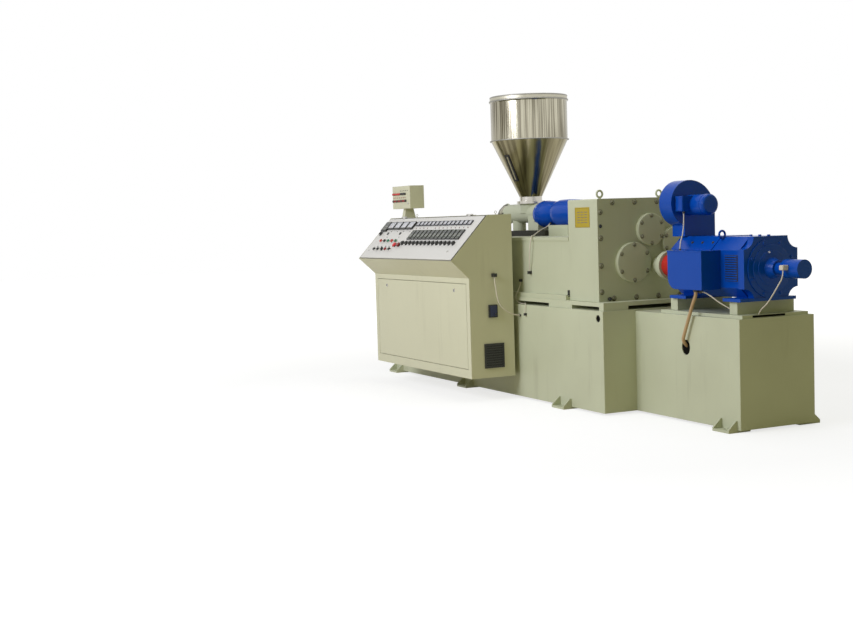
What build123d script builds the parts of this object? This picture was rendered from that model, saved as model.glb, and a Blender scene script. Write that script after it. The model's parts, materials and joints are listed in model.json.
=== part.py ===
# Plastic extruder with its operator console.
# Frame: +X along the line towards the drive motor, +Y to the back, +Z up.
# The origin is on the floor, at the middle of the machine's outline without its cables.
# Lengths in millimetres, angles in degrees.

import os
from math import atan2, cos, degrees, hypot, radians, sin, sqrt, tan

from build123d import *

os.makedirs("parts", exist_ok=True)


# Driving dimensions: welded bed

foot_plate = 15          # thickness of each foot plate, which is the bed's height off the floor
main_bed_length = 3413   # under the barrel and the gearbox
main_bed_width = 1124
main_bed_top = 712       # height above the floor
motor_bed_length = 1087
motor_bed_width = 592
bed_step_down = 12       # how much lower the motor end of the bed is
bed_edge = 4             # rounding of the bed's folded corners

foot_length = 160        # each foot, along the bed
foot_reach = 68          # how far a foot stands out from the bed
foot_inset = 100         # how far its plate runs in under the bed
foot_gusset = 12         # plate thickness of the gussets
foot_gusset_height = 58
foot_end_margin = 30     # from the motor end of the bed to the foot there
anchor_hole = 22         # diameter of the hole in each foot plate
main_foot_spacing = (1348, 1485)   # centre to centre, from the die end towards the gearbox

side_hole = (84, 100)    # oval cable hole in the motor bed's side, width and height
side_hole_place = (532, 492)       # from the motor end, and height above the floor
round_hole = 50          # small round hole near the gearbox
round_hole_place = (1146, 660)
round_hole_depth = 60
side_hole_depth = 80
slot_depth = 60          # below the raised plate

top_plate = 20           # raised plate on the motor bed
top_plate_length = 830
top_plate_width = 520
top_plate_margin = 14    # from the motor end of the bed
top_slot = (280, 28)     # cable slot in the raised plate, across and along the bed
top_slot_edge = 11       # from the slot to the plate's end

# Driving dimensions: gearbox and distribution gear case

pad_height = 26          # pads under the edges of the gearbox plate
pad_width = 202
end_pad = 56             # length of the pads at the plate's motor end
middle_pad = 310         # of those under the joint of the two cases
middle_pad_reach = 91    # and how far they run under the gearbox
far_pad = 220            # of the others
far_pad_gap = 466        # from the middle pads to the next ones
base_plate = 28
base_margin = 44         # how far the base plate stands out from the gearbox front and back
base_overhang = 118      # and past its motor end
gearbox_length = 329     # casting only
gearbox_width = 1000
gearbox_height = 708     # above its base plate
gearbox_edge = 10
end_plate = 45           # bolted plate on the motor end of the casting
gearbox_to_motor_end = 1220        # from the bed's motor end to the face of the end plate
cover_plate = 16         # thickness of the round bearing covers
bearing_covers = ((-221, 29, 140), (-72, 253, 113), (127, 162, 104), (226, -70, 100))
oil_gauge_place = (131, 135)        # like the covers: across and up from the shaft, then radius
oil_gauge_radius = 14
oil_gauge_reach = 24     # how far it stands out from the end plate
eye_ring = 23            # radius of a lifting eye at the middle of its bar
eye_bar = 7              # radius of that bar
eye_shank = 10
eye_stations = ((-60, -439), (-300, 232))     # from the end plate's face, and across from the middle
eye_shank_radius = 9

input_radius = 64        # boss round the input shaft
input_length = 96
half_coupling = (98, 44)            # flange on the input shaft, radius and thickness
coupling_radius = 78
coupling_groove = 8
case_length = 1250       # distribution gear case
case_height = 447        # above the base plate
case_rim = 26            # rim along the top of the case
case_rim_out = 5
case_flange = 34         # flange round its foot
case_flange_out = 34

# Driving dimensions: barrel

barrel_radius = 118
barrel_flange_radius = 190
barrel_flange = 46
barrel_end_gap = 28      # from the die end of the bed back to the front flange
band_radius = 152        # heater shells round the barrel
band_length = 235
band_gap = 38
guard_width = 430        # sheet guard over the barrel
guard_height = 530
guard_sheet = 3
guard_corner = 60
guard_margin = (12, 50)  # from the front flange to the guard, and past the last heater shell
stand_width = 360        # plate stand under the barrel's front
stand_thickness = 40
stand_foot = (72, 20)    # plate under the stand, along the bed and thickness
adapter_radius = 150
adapter_length = 74
adapter_bore = 32
adapter_edge = 32        # from the bolt circle to the rim
adapter_bolts = 8
adapter_hole = 18
throat_size = 170        # square throat block on the barrel
throat_to_case = 306     # from the throat's middle to the distribution gear case
throat_height = 190      # top of the throat above the screws
drop_radius = 55         # pipe from the feeder down to the throat

# Driving dimensions: feeder and hopper

feeder_radius = 78
feeder_rise = 11         # its axis above that of the drive
feeder_clearance = 30    # between the reducer and the plate under it
feeder_length = 520
feeder_die_end = 456     # from the distribution gear case to the feeder's closed end
hopper_to_case = 108     # from the hopper's axis to the distribution gear case
neck_flange_radius = 116
neck_flange = 22
neck_radius = 92
neck_height = 56
cone_height = 455
hopper_radius = 312
hopper_sheet = 3
drum_height = 323
bead = 7
lid_height = 36
lid_dome = 6
port_radius = 83         # inclined window port on the feeder's closed end
port_tube_radius = 72
port_glass_radius = 60
port_rim = 14
port_reach = (43, 15)    # middle of its face, out from the feeder's end and up from its axis
port_tilt = 41.5         # degrees that its face looks up
sight_length = 250
sight_width = 36
reducer_radius = 98
reducer_length = 262
feeder_motor_radius = 96
feeder_motor_length = 360
feeder_motor_neck = 20
feeder_base = (590, 320, 44)        # plate under the feeder's drive, length, width and thickness
feeder_base_overhang = 230          # how far it runs out past the distribution gear case
feeder_foot = (159, 150)            # length and width of the foot on it
feeder_foot_place = 193             # from the plate's free end
motor_cradle = (284, 250, 83)       # block under the feeder's motor, length, width and height
cradle_gap = 3                      # from the plate to it
feeder_box = (90, 90, 36)           # terminal box on the feeder's motor

# Driving dimensions: motor and blower

riser_height = 80
riser_length = 73
riser_width = 450
rear_riser = 139         # middle of each cross beam, from the bed's motor end
front_riser = 742
frame_half = 200         # half the motor frame's width and height
frame_chamfer = 82
frame_length = 650
frame_end = 105          # from the bed's motor end to the frame's rear face
bell_length = 55
bell_half = 212          # half the rear bell's width
bell_cap = 8             # raised ring on the rear bell
bell_scallop = 78
drive_bell_inset = 10
bell_rim = 186
drive_bell_length = 75
drive_hub_radius = 92
hub_radius = 70
hub_length = 62
encoder_neck_radius = 36
encoder_radius = 58
encoder_length = 156
encoder_reach = 248      # from the bed's motor end to the encoder's end face
motor_foot = (170, 20)   # length and thickness of each motor foot
motor_foot_out = (250, 190)         # from the middle to its outer edge, front and back
terminal_box = (350, 150, 242)
terminal_box_place = (465, -8)      # middle, from the bed's motor end, and up from the shaft
terminal_corner = 78
louvre_panel = (141, 182)
louvre_panel_place = (176.5, 6)
louvre_plate = 6
louvre_slot = (118, 6)
louvre_slots = 11
louvre_pitch = 13.5
motor_eye_place = (344, -140)       # from the bed's motor end, and across from the middle
motor_eye_ring = 15      # middle of its ring above the top of the frame

hood_length = 420
hood_height = 4
hood_sheet = 4           # its edge on the side of the motor
hood_end = 375           # from the bed's motor end
scroll_radius = 152      # at the start of the blower's spiral
scroll_growth = 52       # how much the spiral has grown at the outlet
scroll_width = 132
scroll_face = 722        # from the bed's motor end to the blower's flat face
scroll_centre = (-99, 219)          # across from the motor's middle, and above its hood
duct_width = 250
fan_motor_radius = 68
fan_motor_length = 208
fan_motor_drop = 14      # below the middle of the blower
fan_box = (80, 119, 100)
fan_box_place = (45, 4)  # from the blower's face, and down from its middle
fan_motor_edge = 3

# Driving dimensions: operator console

console_length = 1731
console_end = 2221       # from the bed's motor end to the console's end
console_bottom = 175
front_height = 750       # from the console's bottom to its shoulder
chin_height = 136
slope_height = 331
console_gap = 45         # between the console's back and the bed
console_depth = 371      # below the shoulder
lip_out = 147            # how far the lip stands out from the front
console_top_depth = 204
console_sheet = 3
front_depth = 15         # folded front panel
door_side = 55.5         # from the end of the console to the door
door_drop = 44           # from the shoulder to the door's top edge
door_rise = 70           # from the console's bottom to the door's lower edge
door_gap = 4
lid_gap = 5              # running gap round the instrument panel
lid_sheet = 3
lid_fold = 20            # depth of the panel's folded edge
hinge_pin = 3
hinge_play = 0.05        # radial clearance between pin and knuckle
hinge_knuckle = 6.5
hinge_leaf = 3
hinge_length = 90
hinge_spacing = 1180
bracket_size = 60        # square tube that carries the console on the bed
bracket_inset = 140
bracket_drop = 97        # from the bed's top to the upper bracket
bracket_rise = 60        # from the console's bottom to the lower one
vent_size = (166, 184, 9)
vent_place = (176, 164)  # of what is on the console's end: from its back, and up from its bottom
vent_slats = 9
vent_pitch = 18
vent_slot = 8
switch_size = (70, 96, 18)
switch_place = (181, 499)
switch_corner = 5
console_eye = (9, 2.5)   # radius of its ring and of the bar
console_eye_shank = 9
console_eye_insets = (330, 38)      # from the console's far end, and from its motor end
console_eye_back = 112   # from its back
gland_radius = 9         # cable glands and where they sit
gland_length = 14
power_gland = 17
fan_gland = (14, 22.5)   # along from the middle of the blower motor's box, and in from its front
lid_gland = (160, 59.5)  # on the terminal box: along from its middle, and out from the motor
power_gland_place = (73, 117.5)     # under it
field_plug = (24, 20, 24)
field_plug_place = (88, 109.5)
encoder_plug = (34, 54, 28)
encoder_plug_place = (42, 96.5, -4) # from the encoder's neck end, out from and up from the shaft
feeder_gland = (17, 11.6)           # from the reducer's motor end, and out from its skin
feeder_clip = (24, 26, 22)
feeder_clip_place = (547, 174)      # from the gearbox, and above the base plate
console_elbow = (38, 28, 26)
console_elbow_place = (182.5, 754)  # from the console's back, and up from its bottom
bed_gland = (26, 82, 7.5)           # from the console's end, down from the bed's top, and its length
earth_lug = (20, 18)     # width and height
case_lug_place = (687, 113, 19.5)   # from the gearbox, above the base plate, and how far out
bed_lug_place = (2122, 80, 17.5)    # from the bed's motor end, down from its top, and how far out
operator_box = (350, 130, 192)
operator_box_place = (149, 104)     # middle, from the console's far end and from its back
pedestal_height = 78
pedestal_foot = (60, 104)
pedestal_head = (44, 72)

# Worked out from the driving dimensions

bed_length = main_bed_length + motor_bed_length
motor_bed_top = main_bed_top - bed_step_down
plate_z1 = motor_bed_top + top_plate
feet_bottom = plate_z1 + riser_height
shaft_height = feet_bottom + frame_half      # of the motor, the coupling and the screws
base_bottom = main_bed_top + pad_height
base_top = base_bottom + base_plate
gearbox_top = base_top + gearbox_height
case_top = base_top + case_height
feeder_base_top = case_top + feeder_base[2]
feeder_drive_height = feeder_base_top + feeder_clearance + reducer_radius
feeder_axis_height = feeder_drive_height + feeder_rise
neck_bottom = feeder_axis_height + feeder_radius
neck_top = neck_bottom + neck_height
cone_top = neck_top + cone_height
drum_top = cone_top + drum_height
console_shoulder = console_bottom + front_height
lip_height = console_shoulder + chin_height
console_top = lip_height + slope_height
adapter_reach = adapter_length - barrel_end_gap
x_end = (bed_length + adapter_reach + encoder_reach) / 2 - encoder_reach   # motor end of the bed
x_die = x_end - bed_length                                                  # die end of the bed
x_step = x_end - motor_bed_length                                           # where the bed narrows
front_reach = main_bed_width / 2 + console_gap + console_depth + lip_out
back_reach = main_bed_width / 2 + foot_reach
y_mid = (front_reach - back_reach) / 2                                      # line of the screws
bed_front = y_mid - main_bed_width / 2
bed_back = y_mid + main_bed_width / 2


def block(x0, x1, y0, y1, z0, z1, mode=Mode.ADD):
    """A plain block between two corners."""
    with Locations(((x0 + x1) / 2, (y0 + y1) / 2, (z0 + z1) / 2)):
        return Box(x1 - x0, y1 - y0, z1 - z0, mode=mode)


def bar_x(x0, x1, y, z, radius, mode=Mode.ADD):
    """A round bar along X."""
    with Locations(((x0 + x1) / 2, y, z)):
        return Cylinder(radius, x1 - x0, rotation=(0, 90, 0), mode=mode)


def bar_y(x, y0, y1, z, radius, mode=Mode.ADD):
    """A round bar along Y."""
    with Locations((x, (y0 + y1) / 2, z)):
        return Cylinder(radius, y1 - y0, rotation=(90, 0, 0), mode=mode)


def bar_z(x, y, z0, z1, radius, mode=Mode.ADD):
    """An upright round bar."""
    with Locations((x, y, (z0 + z1) / 2)):
        return Cylinder(radius, z1 - z0, mode=mode)


def save(piece, name):
    """Label a finished piece and write its file."""
    piece.part.label = name
    export_step(piece.part, f"parts/{name}.step")


# Bed: two welded boxes on foot plates

with BuildPart() as main_bed:
    block(x_die, x_step, bed_front, bed_back, foot_plate, main_bed_top)
    fillet(main_bed.edges().filter_by(Axis.Z), bed_edge)
    bar_y(x_end - round_hole_place[0], bed_front, bed_front + round_hole_depth, round_hole_place[1],
          round_hole / 2, mode=Mode.SUBTRACT)
save(main_bed, "bed_main_section")

motor_bed_front = y_mid - motor_bed_width / 2
motor_bed_back = y_mid + motor_bed_width / 2

with BuildPart() as motor_bed:
    block(x_step, x_end, motor_bed_front, motor_bed_back, foot_plate, motor_bed_top)
    fillet(motor_bed.edges().filter_by(Axis.Z).group_by(Axis.X)[-1], bed_edge)
    side_plane = Plane(origin=(x_end - side_hole_place[0], motor_bed_front, side_hole_place[1]),
                       x_dir=(1, 0, 0), z_dir=(0, -1, 0))
    with BuildSketch(side_plane) as side_hole_outline:
        Ellipse(side_hole[0] / 2, side_hole[1] / 2)
    extrude(amount=-side_hole_depth, mode=Mode.SUBTRACT)
    plate_x1 = x_end - top_plate_margin
    block(plate_x1 - top_plate_length, plate_x1, y_mid - top_plate_width / 2, y_mid + top_plate_width / 2,
          motor_bed_top, plate_z1)
    slot_x1 = plate_x1 - top_slot_edge
    block(slot_x1 - top_slot[1], slot_x1, y_mid - top_slot[0] / 2, y_mid + top_slot[0] / 2,
          plate_z1 - top_plate - slot_depth, plate_z1, mode=Mode.SUBTRACT)
save(motor_bed, "bed_motor_section")

die_foot = x_die + foot_length / 2
feet_main = [die_foot, die_foot + main_foot_spacing[0], die_foot + sum(main_foot_spacing)]
foot_motor = x_end - foot_end_margin - foot_length / 2


def foot(x, y_face, side):
    """A foot plate with two gussets; side is -1 at the front of the bed and 1 at its back."""
    y_in = y_face - side * foot_inset
    y_out = y_face + side * foot_reach
    block(x - foot_length / 2, x + foot_length / 2, min(y_in, y_out), max(y_in, y_out), 0, foot_plate)
    for x0 in (x - foot_length / 2, x + foot_length / 2 - foot_gusset):
        with BuildSketch(Plane(origin=(x0, y_face, foot_plate), x_dir=(0, 1, 0), z_dir=(1, 0, 0))) as gusset:
            with BuildLine():
                Polyline((0, 0), (side * foot_reach, 0), (side * foot_reach, 6),
                         (side * 10, foot_gusset_height), (0, foot_gusset_height), close=True)
            make_face()
        extrude(gusset.sketch, amount=foot_gusset)
    bar_z(x, y_face + side * foot_reach / 2, 0, foot_plate, anchor_hole / 2, mode=Mode.SUBTRACT)


with BuildPart() as bed_feet:
    for foot_x in feet_main:
        foot(foot_x, bed_front, -1)
        foot(foot_x, bed_back, 1)
    foot(foot_motor, motor_bed_front, -1)
    foot(foot_motor, motor_bed_back, 1)
save(bed_feet, "bed_feet")

# Gearbox on its base plate

gear_x1 = x_end - gearbox_to_motor_end           # face of the end plate
gear_x0 = gear_x1 - end_plate - gearbox_length   # left end of the casting
gear_front = y_mid - gearbox_width / 2
gear_back = y_mid + gearbox_width / 2
case_x1 = gear_x0
case_x0 = case_x1 - case_length
base_x1 = gear_x1 + base_overhang
base_y0 = gear_front - base_margin
base_y1 = gear_back + base_margin
middle_pad_x0 = gear_x0 + middle_pad_reach - middle_pad
pads = [(base_x1 - end_pad, end_pad), (middle_pad_x0, middle_pad),
        (middle_pad_x0 - far_pad_gap - far_pad, far_pad), (case_x0, far_pad)]

with BuildPart() as base:
    block(case_x0, base_x1, base_y0, base_y1, base_bottom, base_top)
    for pad_x, pad_length in pads:
        block(pad_x, pad_x + pad_length, base_y0, base_y0 + pad_width, main_bed_top, base_bottom)
        block(pad_x, pad_x + pad_length, base_y1 - pad_width, base_y1, main_bed_top, base_bottom)
save(base, "gearbox_base_plate")

with BuildPart() as gearbox:
    block(gear_x0, gear_x1 - end_plate, gear_front, gear_back, base_top, gearbox_top)
    fillet(gearbox.edges().filter_by(Axis.X).group_by(Axis.Z)[-1], gearbox_edge)
save(gearbox, "gearbox_housing")

with BuildPart() as gearbox_end:
    block(gear_x1 - end_plate, gear_x1, gear_front, gear_back, base_top, gearbox_top)
    fillet(gearbox_end.edges().filter_by(Axis.X).group_by(Axis.Z)[-1], gearbox_edge)
save(gearbox_end, "gearbox_end_plate")

with BuildPart() as covers:
    for cover_y, cover_z, cover_radius in bearing_covers:
        bar_x(gear_x1, gear_x1 + cover_plate, y_mid + cover_y, shaft_height + cover_z, cover_radius)
    bar_x(gear_x1, gear_x1 + oil_gauge_reach, y_mid + oil_gauge_place[0], shaft_height + oil_gauge_place[1],
          oil_gauge_radius)
save(covers, "gearbox_bearing_covers")


def lifting_eye(x, y, z):
    """A lifting eye on a round shank, its ring facing along X."""
    bar_z(x, y, z, z + eye_shank, eye_shank_radius)
    with Locations((x, y, z + eye_shank + eye_ring)):
        Torus(eye_ring, eye_bar, rotation=(0, 90, 0))


with BuildPart() as gearbox_eyes:
    for eye_x, eye_y in eye_stations:
        lifting_eye(gear_x1 + eye_x, y_mid + eye_y, gearbox_top)
save(gearbox_eyes, "gearbox_lifting_eyes")

motor_x1 = x_end - frame_end
motor_x0 = motor_x1 - frame_length
drive_face = motor_x0 - drive_bell_length

with BuildPart() as input_boss:
    bar_x(gear_x1, gear_x1 + input_length, y_mid, shaft_height, input_radius)
    bar_x(gear_x1 + input_length, gear_x1 + input_length + half_coupling[1], y_mid, shaft_height,
          half_coupling[0])
save(input_boss, "gearbox_input_boss")

with BuildPart() as coupling:
    coupling_x0 = gear_x1 + input_length + half_coupling[1]
    bar_x(coupling_x0, drive_face, y_mid, shaft_height, coupling_radius)
    middle = (coupling_x0 + drive_face) / 2
    with Locations((middle, y_mid, shaft_height)):
        Cylinder(coupling_radius + 1, coupling_groove, rotation=(0, 90, 0), mode=Mode.SUBTRACT)
        Cylinder(coupling_radius - coupling_groove, coupling_groove, rotation=(0, 90, 0))
save(coupling, "drive_coupling")

with BuildPart() as case:
    block(case_x0, case_x1, gear_front, gear_back, base_top, case_top)
    block(case_x0, case_x1, gear_front - case_rim_out, gear_back + case_rim_out,
          case_top - case_rim, case_top)
    block(case_x0, case_x1, gear_front - case_flange_out, gear_back + case_flange_out,
          base_top, base_top + case_flange)
save(case, "distribution_gear_case")

# Barrel, its heater shells and guard

barrel_x1 = case_x0
barrel_x0 = x_die + barrel_end_gap

with BuildPart() as barrel:
    bar_x(barrel_x0, barrel_x1, y_mid, shaft_height, barrel_radius)
    bar_x(barrel_x1 - barrel_flange, barrel_x1, y_mid, shaft_height, barrel_flange_radius)
    bar_x(barrel_x0, barrel_x0 + barrel_flange, y_mid, shaft_height, adapter_radius)
save(barrel, "barrel")

throat_x = case_x0 - throat_to_case
throat_top = shaft_height + throat_height

band_pitch = band_length + band_gap
band_first = barrel_x0 + barrel_flange + band_gap
band_count = int((throat_x - throat_size / 2 - band_first) // band_pitch)   # as many as there is room for

with BuildPart() as bands:
    for index in range(band_count):
        band_x = band_first + index * band_pitch
        bar_x(band_x, band_x + band_length, y_mid, shaft_height, band_radius)
        bar_x(band_x, band_x + band_length, y_mid, shaft_height, barrel_radius, mode=Mode.SUBTRACT)
save(bands, "barrel_heater_shells")

with BuildPart() as adapter:
    bar_x(barrel_x0 - adapter_length, barrel_x0, y_mid, shaft_height, adapter_radius)
    bar_x(barrel_x0 - adapter_length, barrel_x0, y_mid, shaft_height, adapter_bore, mode=Mode.SUBTRACT)
    with Locations(Plane(origin=(barrel_x0 - adapter_length, y_mid, shaft_height), z_dir=(-1, 0, 0))):
        with PolarLocations(adapter_radius - adapter_edge, adapter_bolts):
            Hole(adapter_hole / 2, depth=adapter_length * 0.6)
save(adapter, "die_adapter")

with BuildPart() as stand:
    stand_x0 = barrel_x0 + barrel_flange - stand_thickness
    block(stand_x0, stand_x0 + stand_thickness, y_mid - stand_width / 2, y_mid + stand_width / 2,
          main_bed_top, shaft_height)
    bar_x(stand_x0, stand_x0 + stand_thickness, y_mid, shaft_height, adapter_radius, mode=Mode.SUBTRACT)
    stand_mid = stand_x0 + stand_thickness / 2
    block(stand_mid - stand_foot[0] / 2, stand_mid + stand_foot[0] / 2, y_mid - stand_width / 2,
          y_mid + stand_width / 2, main_bed_top, main_bed_top + stand_foot[1])
save(stand, "barrel_stand")

guard_x0 = barrel_x0 + barrel_flange + guard_margin[0]
guard_x1 = band_first + band_count * band_pitch - band_gap + guard_margin[1]

with BuildPart() as guard:
    with BuildSketch(Plane(origin=(guard_x0, y_mid, main_bed_top), x_dir=(0, 1, 0), z_dir=(1, 0, 0))):
        for sheet, mode in ((0, Mode.ADD), (guard_sheet, Mode.SUBTRACT)):
            half = guard_width / 2 - sheet
            corner = guard_corner - sheet
            high = guard_height - sheet
            with BuildLine() as arch:
                Line((-half, 0), (-half, high - corner))
                RadiusArc((-half, high - corner), (-half + corner, high), corner)
                Line((-half + corner, high), (half - corner, high))
                RadiusArc((half - corner, high), (half, high - corner), corner)
                Polyline((half, high - corner), (half, 0), (-half, 0))
            make_face(mode=mode)
    extrude(amount=guard_x1 - guard_x0)
save(guard, "barrel_guard")

with BuildPart() as throat:
    block(throat_x - throat_size / 2, throat_x + throat_size / 2, y_mid - throat_size / 2,
          y_mid + throat_size / 2, shaft_height, throat_top)
    bar_x(throat_x - throat_size, throat_x + throat_size, y_mid, shaft_height, barrel_radius,
          mode=Mode.SUBTRACT)
save(throat, "feed_throat")

# Feeder and hopper

feeder_x0 = case_x0 - feeder_die_end
feeder_x1 = feeder_x0 + feeder_length
hopper_x = case_x0 - hopper_to_case

with BuildPart() as feeder:
    bar_x(feeder_x0, feeder_x1, y_mid, feeder_axis_height, feeder_radius)
    bar_z(hopper_x, y_mid, feeder_axis_height, neck_bottom, neck_radius)
    bar_z(throat_x, y_mid, throat_top, feeder_axis_height, drop_radius)
save(feeder, "feeder_housing")

def shell_of_turning(profile):
    """Turn an open outline of (radius, height) points into a sheet shell about the hopper's axis."""
    with BuildSketch(Plane(origin=(hopper_x, y_mid, 0), x_dir=(1, 0, 0), z_dir=(0, -1, 0))) as section:
        with BuildLine():
            Polyline(*profile, close=True)
        make_face()
    revolve(section.sketch, axis=Axis((hopper_x, y_mid, 0), (0, 0, 1)))


with BuildPart() as cone:
    shell_of_turning([
        (neck_radius - hopper_sheet, neck_bottom), (neck_flange_radius, neck_bottom),
        (neck_flange_radius, neck_bottom + neck_flange), (neck_radius, neck_bottom + neck_flange),
        (neck_radius, neck_top), (hopper_radius, cone_top), (hopper_radius - hopper_sheet, cone_top),
        (neck_radius - hopper_sheet, neck_top)])
save(cone, "hopper_cone")

with BuildPart() as drum:
    shell_of_turning([
        (hopper_radius - hopper_sheet, cone_top), (hopper_radius, cone_top),
        (hopper_radius, drum_top - 2 * bead), (hopper_radius + bead, drum_top - bead),
        (hopper_radius, drum_top), (hopper_radius - hopper_sheet, drum_top)])
save(drum, "hopper_drum")

with BuildPart() as hopper_lid:
    bar_z(hopper_x, y_mid, drum_top, drum_top + lid_height, hopper_radius + 3)
    chamfer(hopper_lid.edges().group_by(Axis.Z)[-1], lid_dome * 0.6, lid_dome)
save(hopper_lid, "hopper_lid")

cone_angle = degrees(atan2(hopper_radius - neck_radius, cone_top - neck_top))
cone_slant = hypot(hopper_radius - neck_radius, cone_top - neck_top)
sight_around = -118      # degrees round the hopper from +X
sight_plane = Plane(origin=(hopper_x, y_mid, neck_top), x_dir=(-sin(radians(sight_around)),
                    cos(radians(sight_around)), 0),
                    z_dir=(cos(radians(cone_angle)) * cos(radians(sight_around)),
                           cos(radians(cone_angle)) * sin(radians(sight_around)),
                           -sin(radians(cone_angle))))

with BuildPart() as sight:
    with BuildSketch(sight_plane.offset(neck_radius * cos(radians(cone_angle)))) as sight_outline:
        with Locations((0, cone_slant * 0.55 + neck_radius * sin(radians(cone_angle)))):
            SlotOverall(sight_length, sight_width, rotation=90)
    extrude(amount=9)
save(sight, "hopper_sight_glass")

port_plane = Plane(origin=(feeder_x0 - port_reach[0], y_mid, feeder_axis_height + port_reach[1]),
                   x_dir=(0, 1, 0), z_dir=(-cos(radians(port_tilt)), 0, sin(radians(port_tilt))))

with BuildPart() as port:
    with BuildSketch(port_plane):
        Circle(port_radius)
    extrude(amount=-port_rim)
    with BuildSketch(port_plane):
        Circle(port_tube_radius)
    extrude(amount=-port_radius)
    with BuildSketch(port_plane):
        Circle(port_glass_radius)
    extrude(amount=-port_rim / 2, mode=Mode.SUBTRACT)
    block(feeder_x0, feeder_x1, y_mid - port_radius, y_mid + port_radius,
          feeder_axis_height - 2 * port_radius, feeder_axis_height + 2 * port_radius, mode=Mode.SUBTRACT)
save(port, "feeder_window_port")

reducer_x0 = feeder_x1
reducer_x1 = reducer_x0 + reducer_length

with BuildPart() as feeder_reducer:
    bar_x(reducer_x0, reducer_x1, y_mid, feeder_drive_height, reducer_radius)
save(feeder_reducer, "feeder_reducer")

feeder_motor_x0 = reducer_x1 + feeder_motor_neck

with BuildPart() as feeder_motor:
    bar_x(reducer_x1, feeder_motor_x0, y_mid, feeder_drive_height, feeder_motor_radius * 0.8)
    bar_x(feeder_motor_x0, feeder_motor_x0 + feeder_motor_length, y_mid, feeder_drive_height,
          feeder_motor_radius)
    block(feeder_motor_x0, feeder_motor_x0 + feeder_box[0],
          y_mid, y_mid + feeder_motor_radius + feeder_box[2],
          feeder_drive_height - feeder_box[1] / 2, feeder_drive_height + feeder_box[1] / 2)
save(feeder_motor, "feeder_motor")

feeder_base_x0 = case_x0 - feeder_base_overhang
feeder_base_x1 = feeder_base_x0 + feeder_base[0]

with BuildPart() as feeder_plate:
    block(feeder_base_x0, feeder_base_x1, y_mid - feeder_base[1] / 2,
          y_mid + feeder_base[1] / 2, case_top, feeder_base_top)
save(feeder_plate, "feeder_base_plate")

foot_x0 = feeder_base_x0 + feeder_foot_place
cradle_x0 = feeder_base_x1 + cradle_gap

with BuildPart() as feeder_supports:
    block(foot_x0, foot_x0 + feeder_foot[0], y_mid - feeder_foot[1] / 2, y_mid + feeder_foot[1] / 2,
          feeder_base_top, feeder_drive_height)
    block(cradle_x0, cradle_x0 + motor_cradle[0], y_mid - motor_cradle[1] / 2, y_mid + motor_cradle[1] / 2,
          case_top, case_top + motor_cradle[2])
    bar_x(feeder_x0, feeder_x1, y_mid, feeder_axis_height, feeder_radius, mode=Mode.SUBTRACT)
    bar_x(reducer_x0, reducer_x1, y_mid, feeder_drive_height, reducer_radius, mode=Mode.SUBTRACT)
    bar_x(feeder_motor_x0, feeder_motor_x0 + feeder_motor_length, y_mid, feeder_drive_height,
          feeder_motor_radius, mode=Mode.SUBTRACT)
save(feeder_supports, "feeder_supports")

# Motor on two cross beams

with BuildPart() as risers:
    for riser_x in (x_end - rear_riser, x_end - front_riser):
        block(riser_x - riser_length / 2, riser_x + riser_length / 2, y_mid - riser_width / 2,
              y_mid + riser_width / 2, plate_z1, plate_z1 + riser_height)
save(risers, "motor_cross_beams")

feet_top = feet_bottom + motor_foot[1]
bell_x1 = motor_x1 + bell_length + bell_cap

with BuildPart() as motor_frame:
    with BuildSketch(Plane(origin=(motor_x0, y_mid, shaft_height), x_dir=(0, 1, 0), z_dir=(1, 0, 0))):
        Rectangle(2 * frame_half, 2 * frame_half)
        chamfer(vertices(), frame_chamfer)
    extrude(amount=frame_length)
    block(motor_x0, motor_x1, y_mid - frame_half, y_mid + frame_half, 0, feet_top, mode=Mode.SUBTRACT)
    for x0 in (motor_x0, bell_x1 - motor_foot[0]):
        block(x0, x0 + motor_foot[0], y_mid - motor_foot_out[0], y_mid + motor_foot_out[1], feet_bottom,
              feet_top)
save(motor_frame, "motor_frame")

with BuildPart() as rear_bell:
    with BuildSketch(Plane(origin=(motor_x1, y_mid, shaft_height), x_dir=(0, 1, 0), z_dir=(1, 0, 0))):
        Rectangle(2 * bell_half, 2 * frame_half)
        with GridLocations(2 * bell_half, 2 * frame_half, 2, 2):
            Circle(bell_scallop, mode=Mode.SUBTRACT)
    extrude(amount=bell_length)
    bar_x(motor_x1 + bell_length, bell_x1, y_mid, shaft_height, bell_rim)
    block(motor_x1, bell_x1, y_mid - bell_half, y_mid + bell_half, 0, feet_top, mode=Mode.SUBTRACT)
    with BuildSketch(Plane(origin=(bell_x1, y_mid, shaft_height), x_dir=(0, 1, 0), z_dir=(1, 0, 0))):
        Circle(hub_radius)
    extrude(amount=hub_length, taper=18)
save(rear_bell, "motor_rear_bell")

with BuildPart() as drive_bell:
    with BuildSketch(Plane(origin=(motor_x0, y_mid, shaft_height), x_dir=(0, 1, 0), z_dir=(-1, 0, 0))):
        Rectangle(2 * (frame_half - drive_bell_inset), 2 * (frame_half - drive_bell_inset))
        chamfer(vertices(), frame_chamfer)
    extrude(amount=drive_bell_length * 0.6)
    bar_x(drive_face, motor_x0, y_mid, shaft_height, drive_hub_radius)
    block(drive_face, motor_x0, y_mid - frame_half, y_mid + frame_half, 0, feet_top, mode=Mode.SUBTRACT)
save(drive_bell, "motor_drive_bell")

encoder_x1 = x_end + encoder_reach
encoder_x0 = encoder_x1 - encoder_length
neck_x0 = bell_x1 + hub_length

with BuildPart() as encoder:
    bar_x(encoder_x0, encoder_x1, y_mid, shaft_height, encoder_radius)
    bar_x(neck_x0, encoder_x0, y_mid, shaft_height, encoder_neck_radius)
save(encoder, "shaft_encoder")

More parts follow.
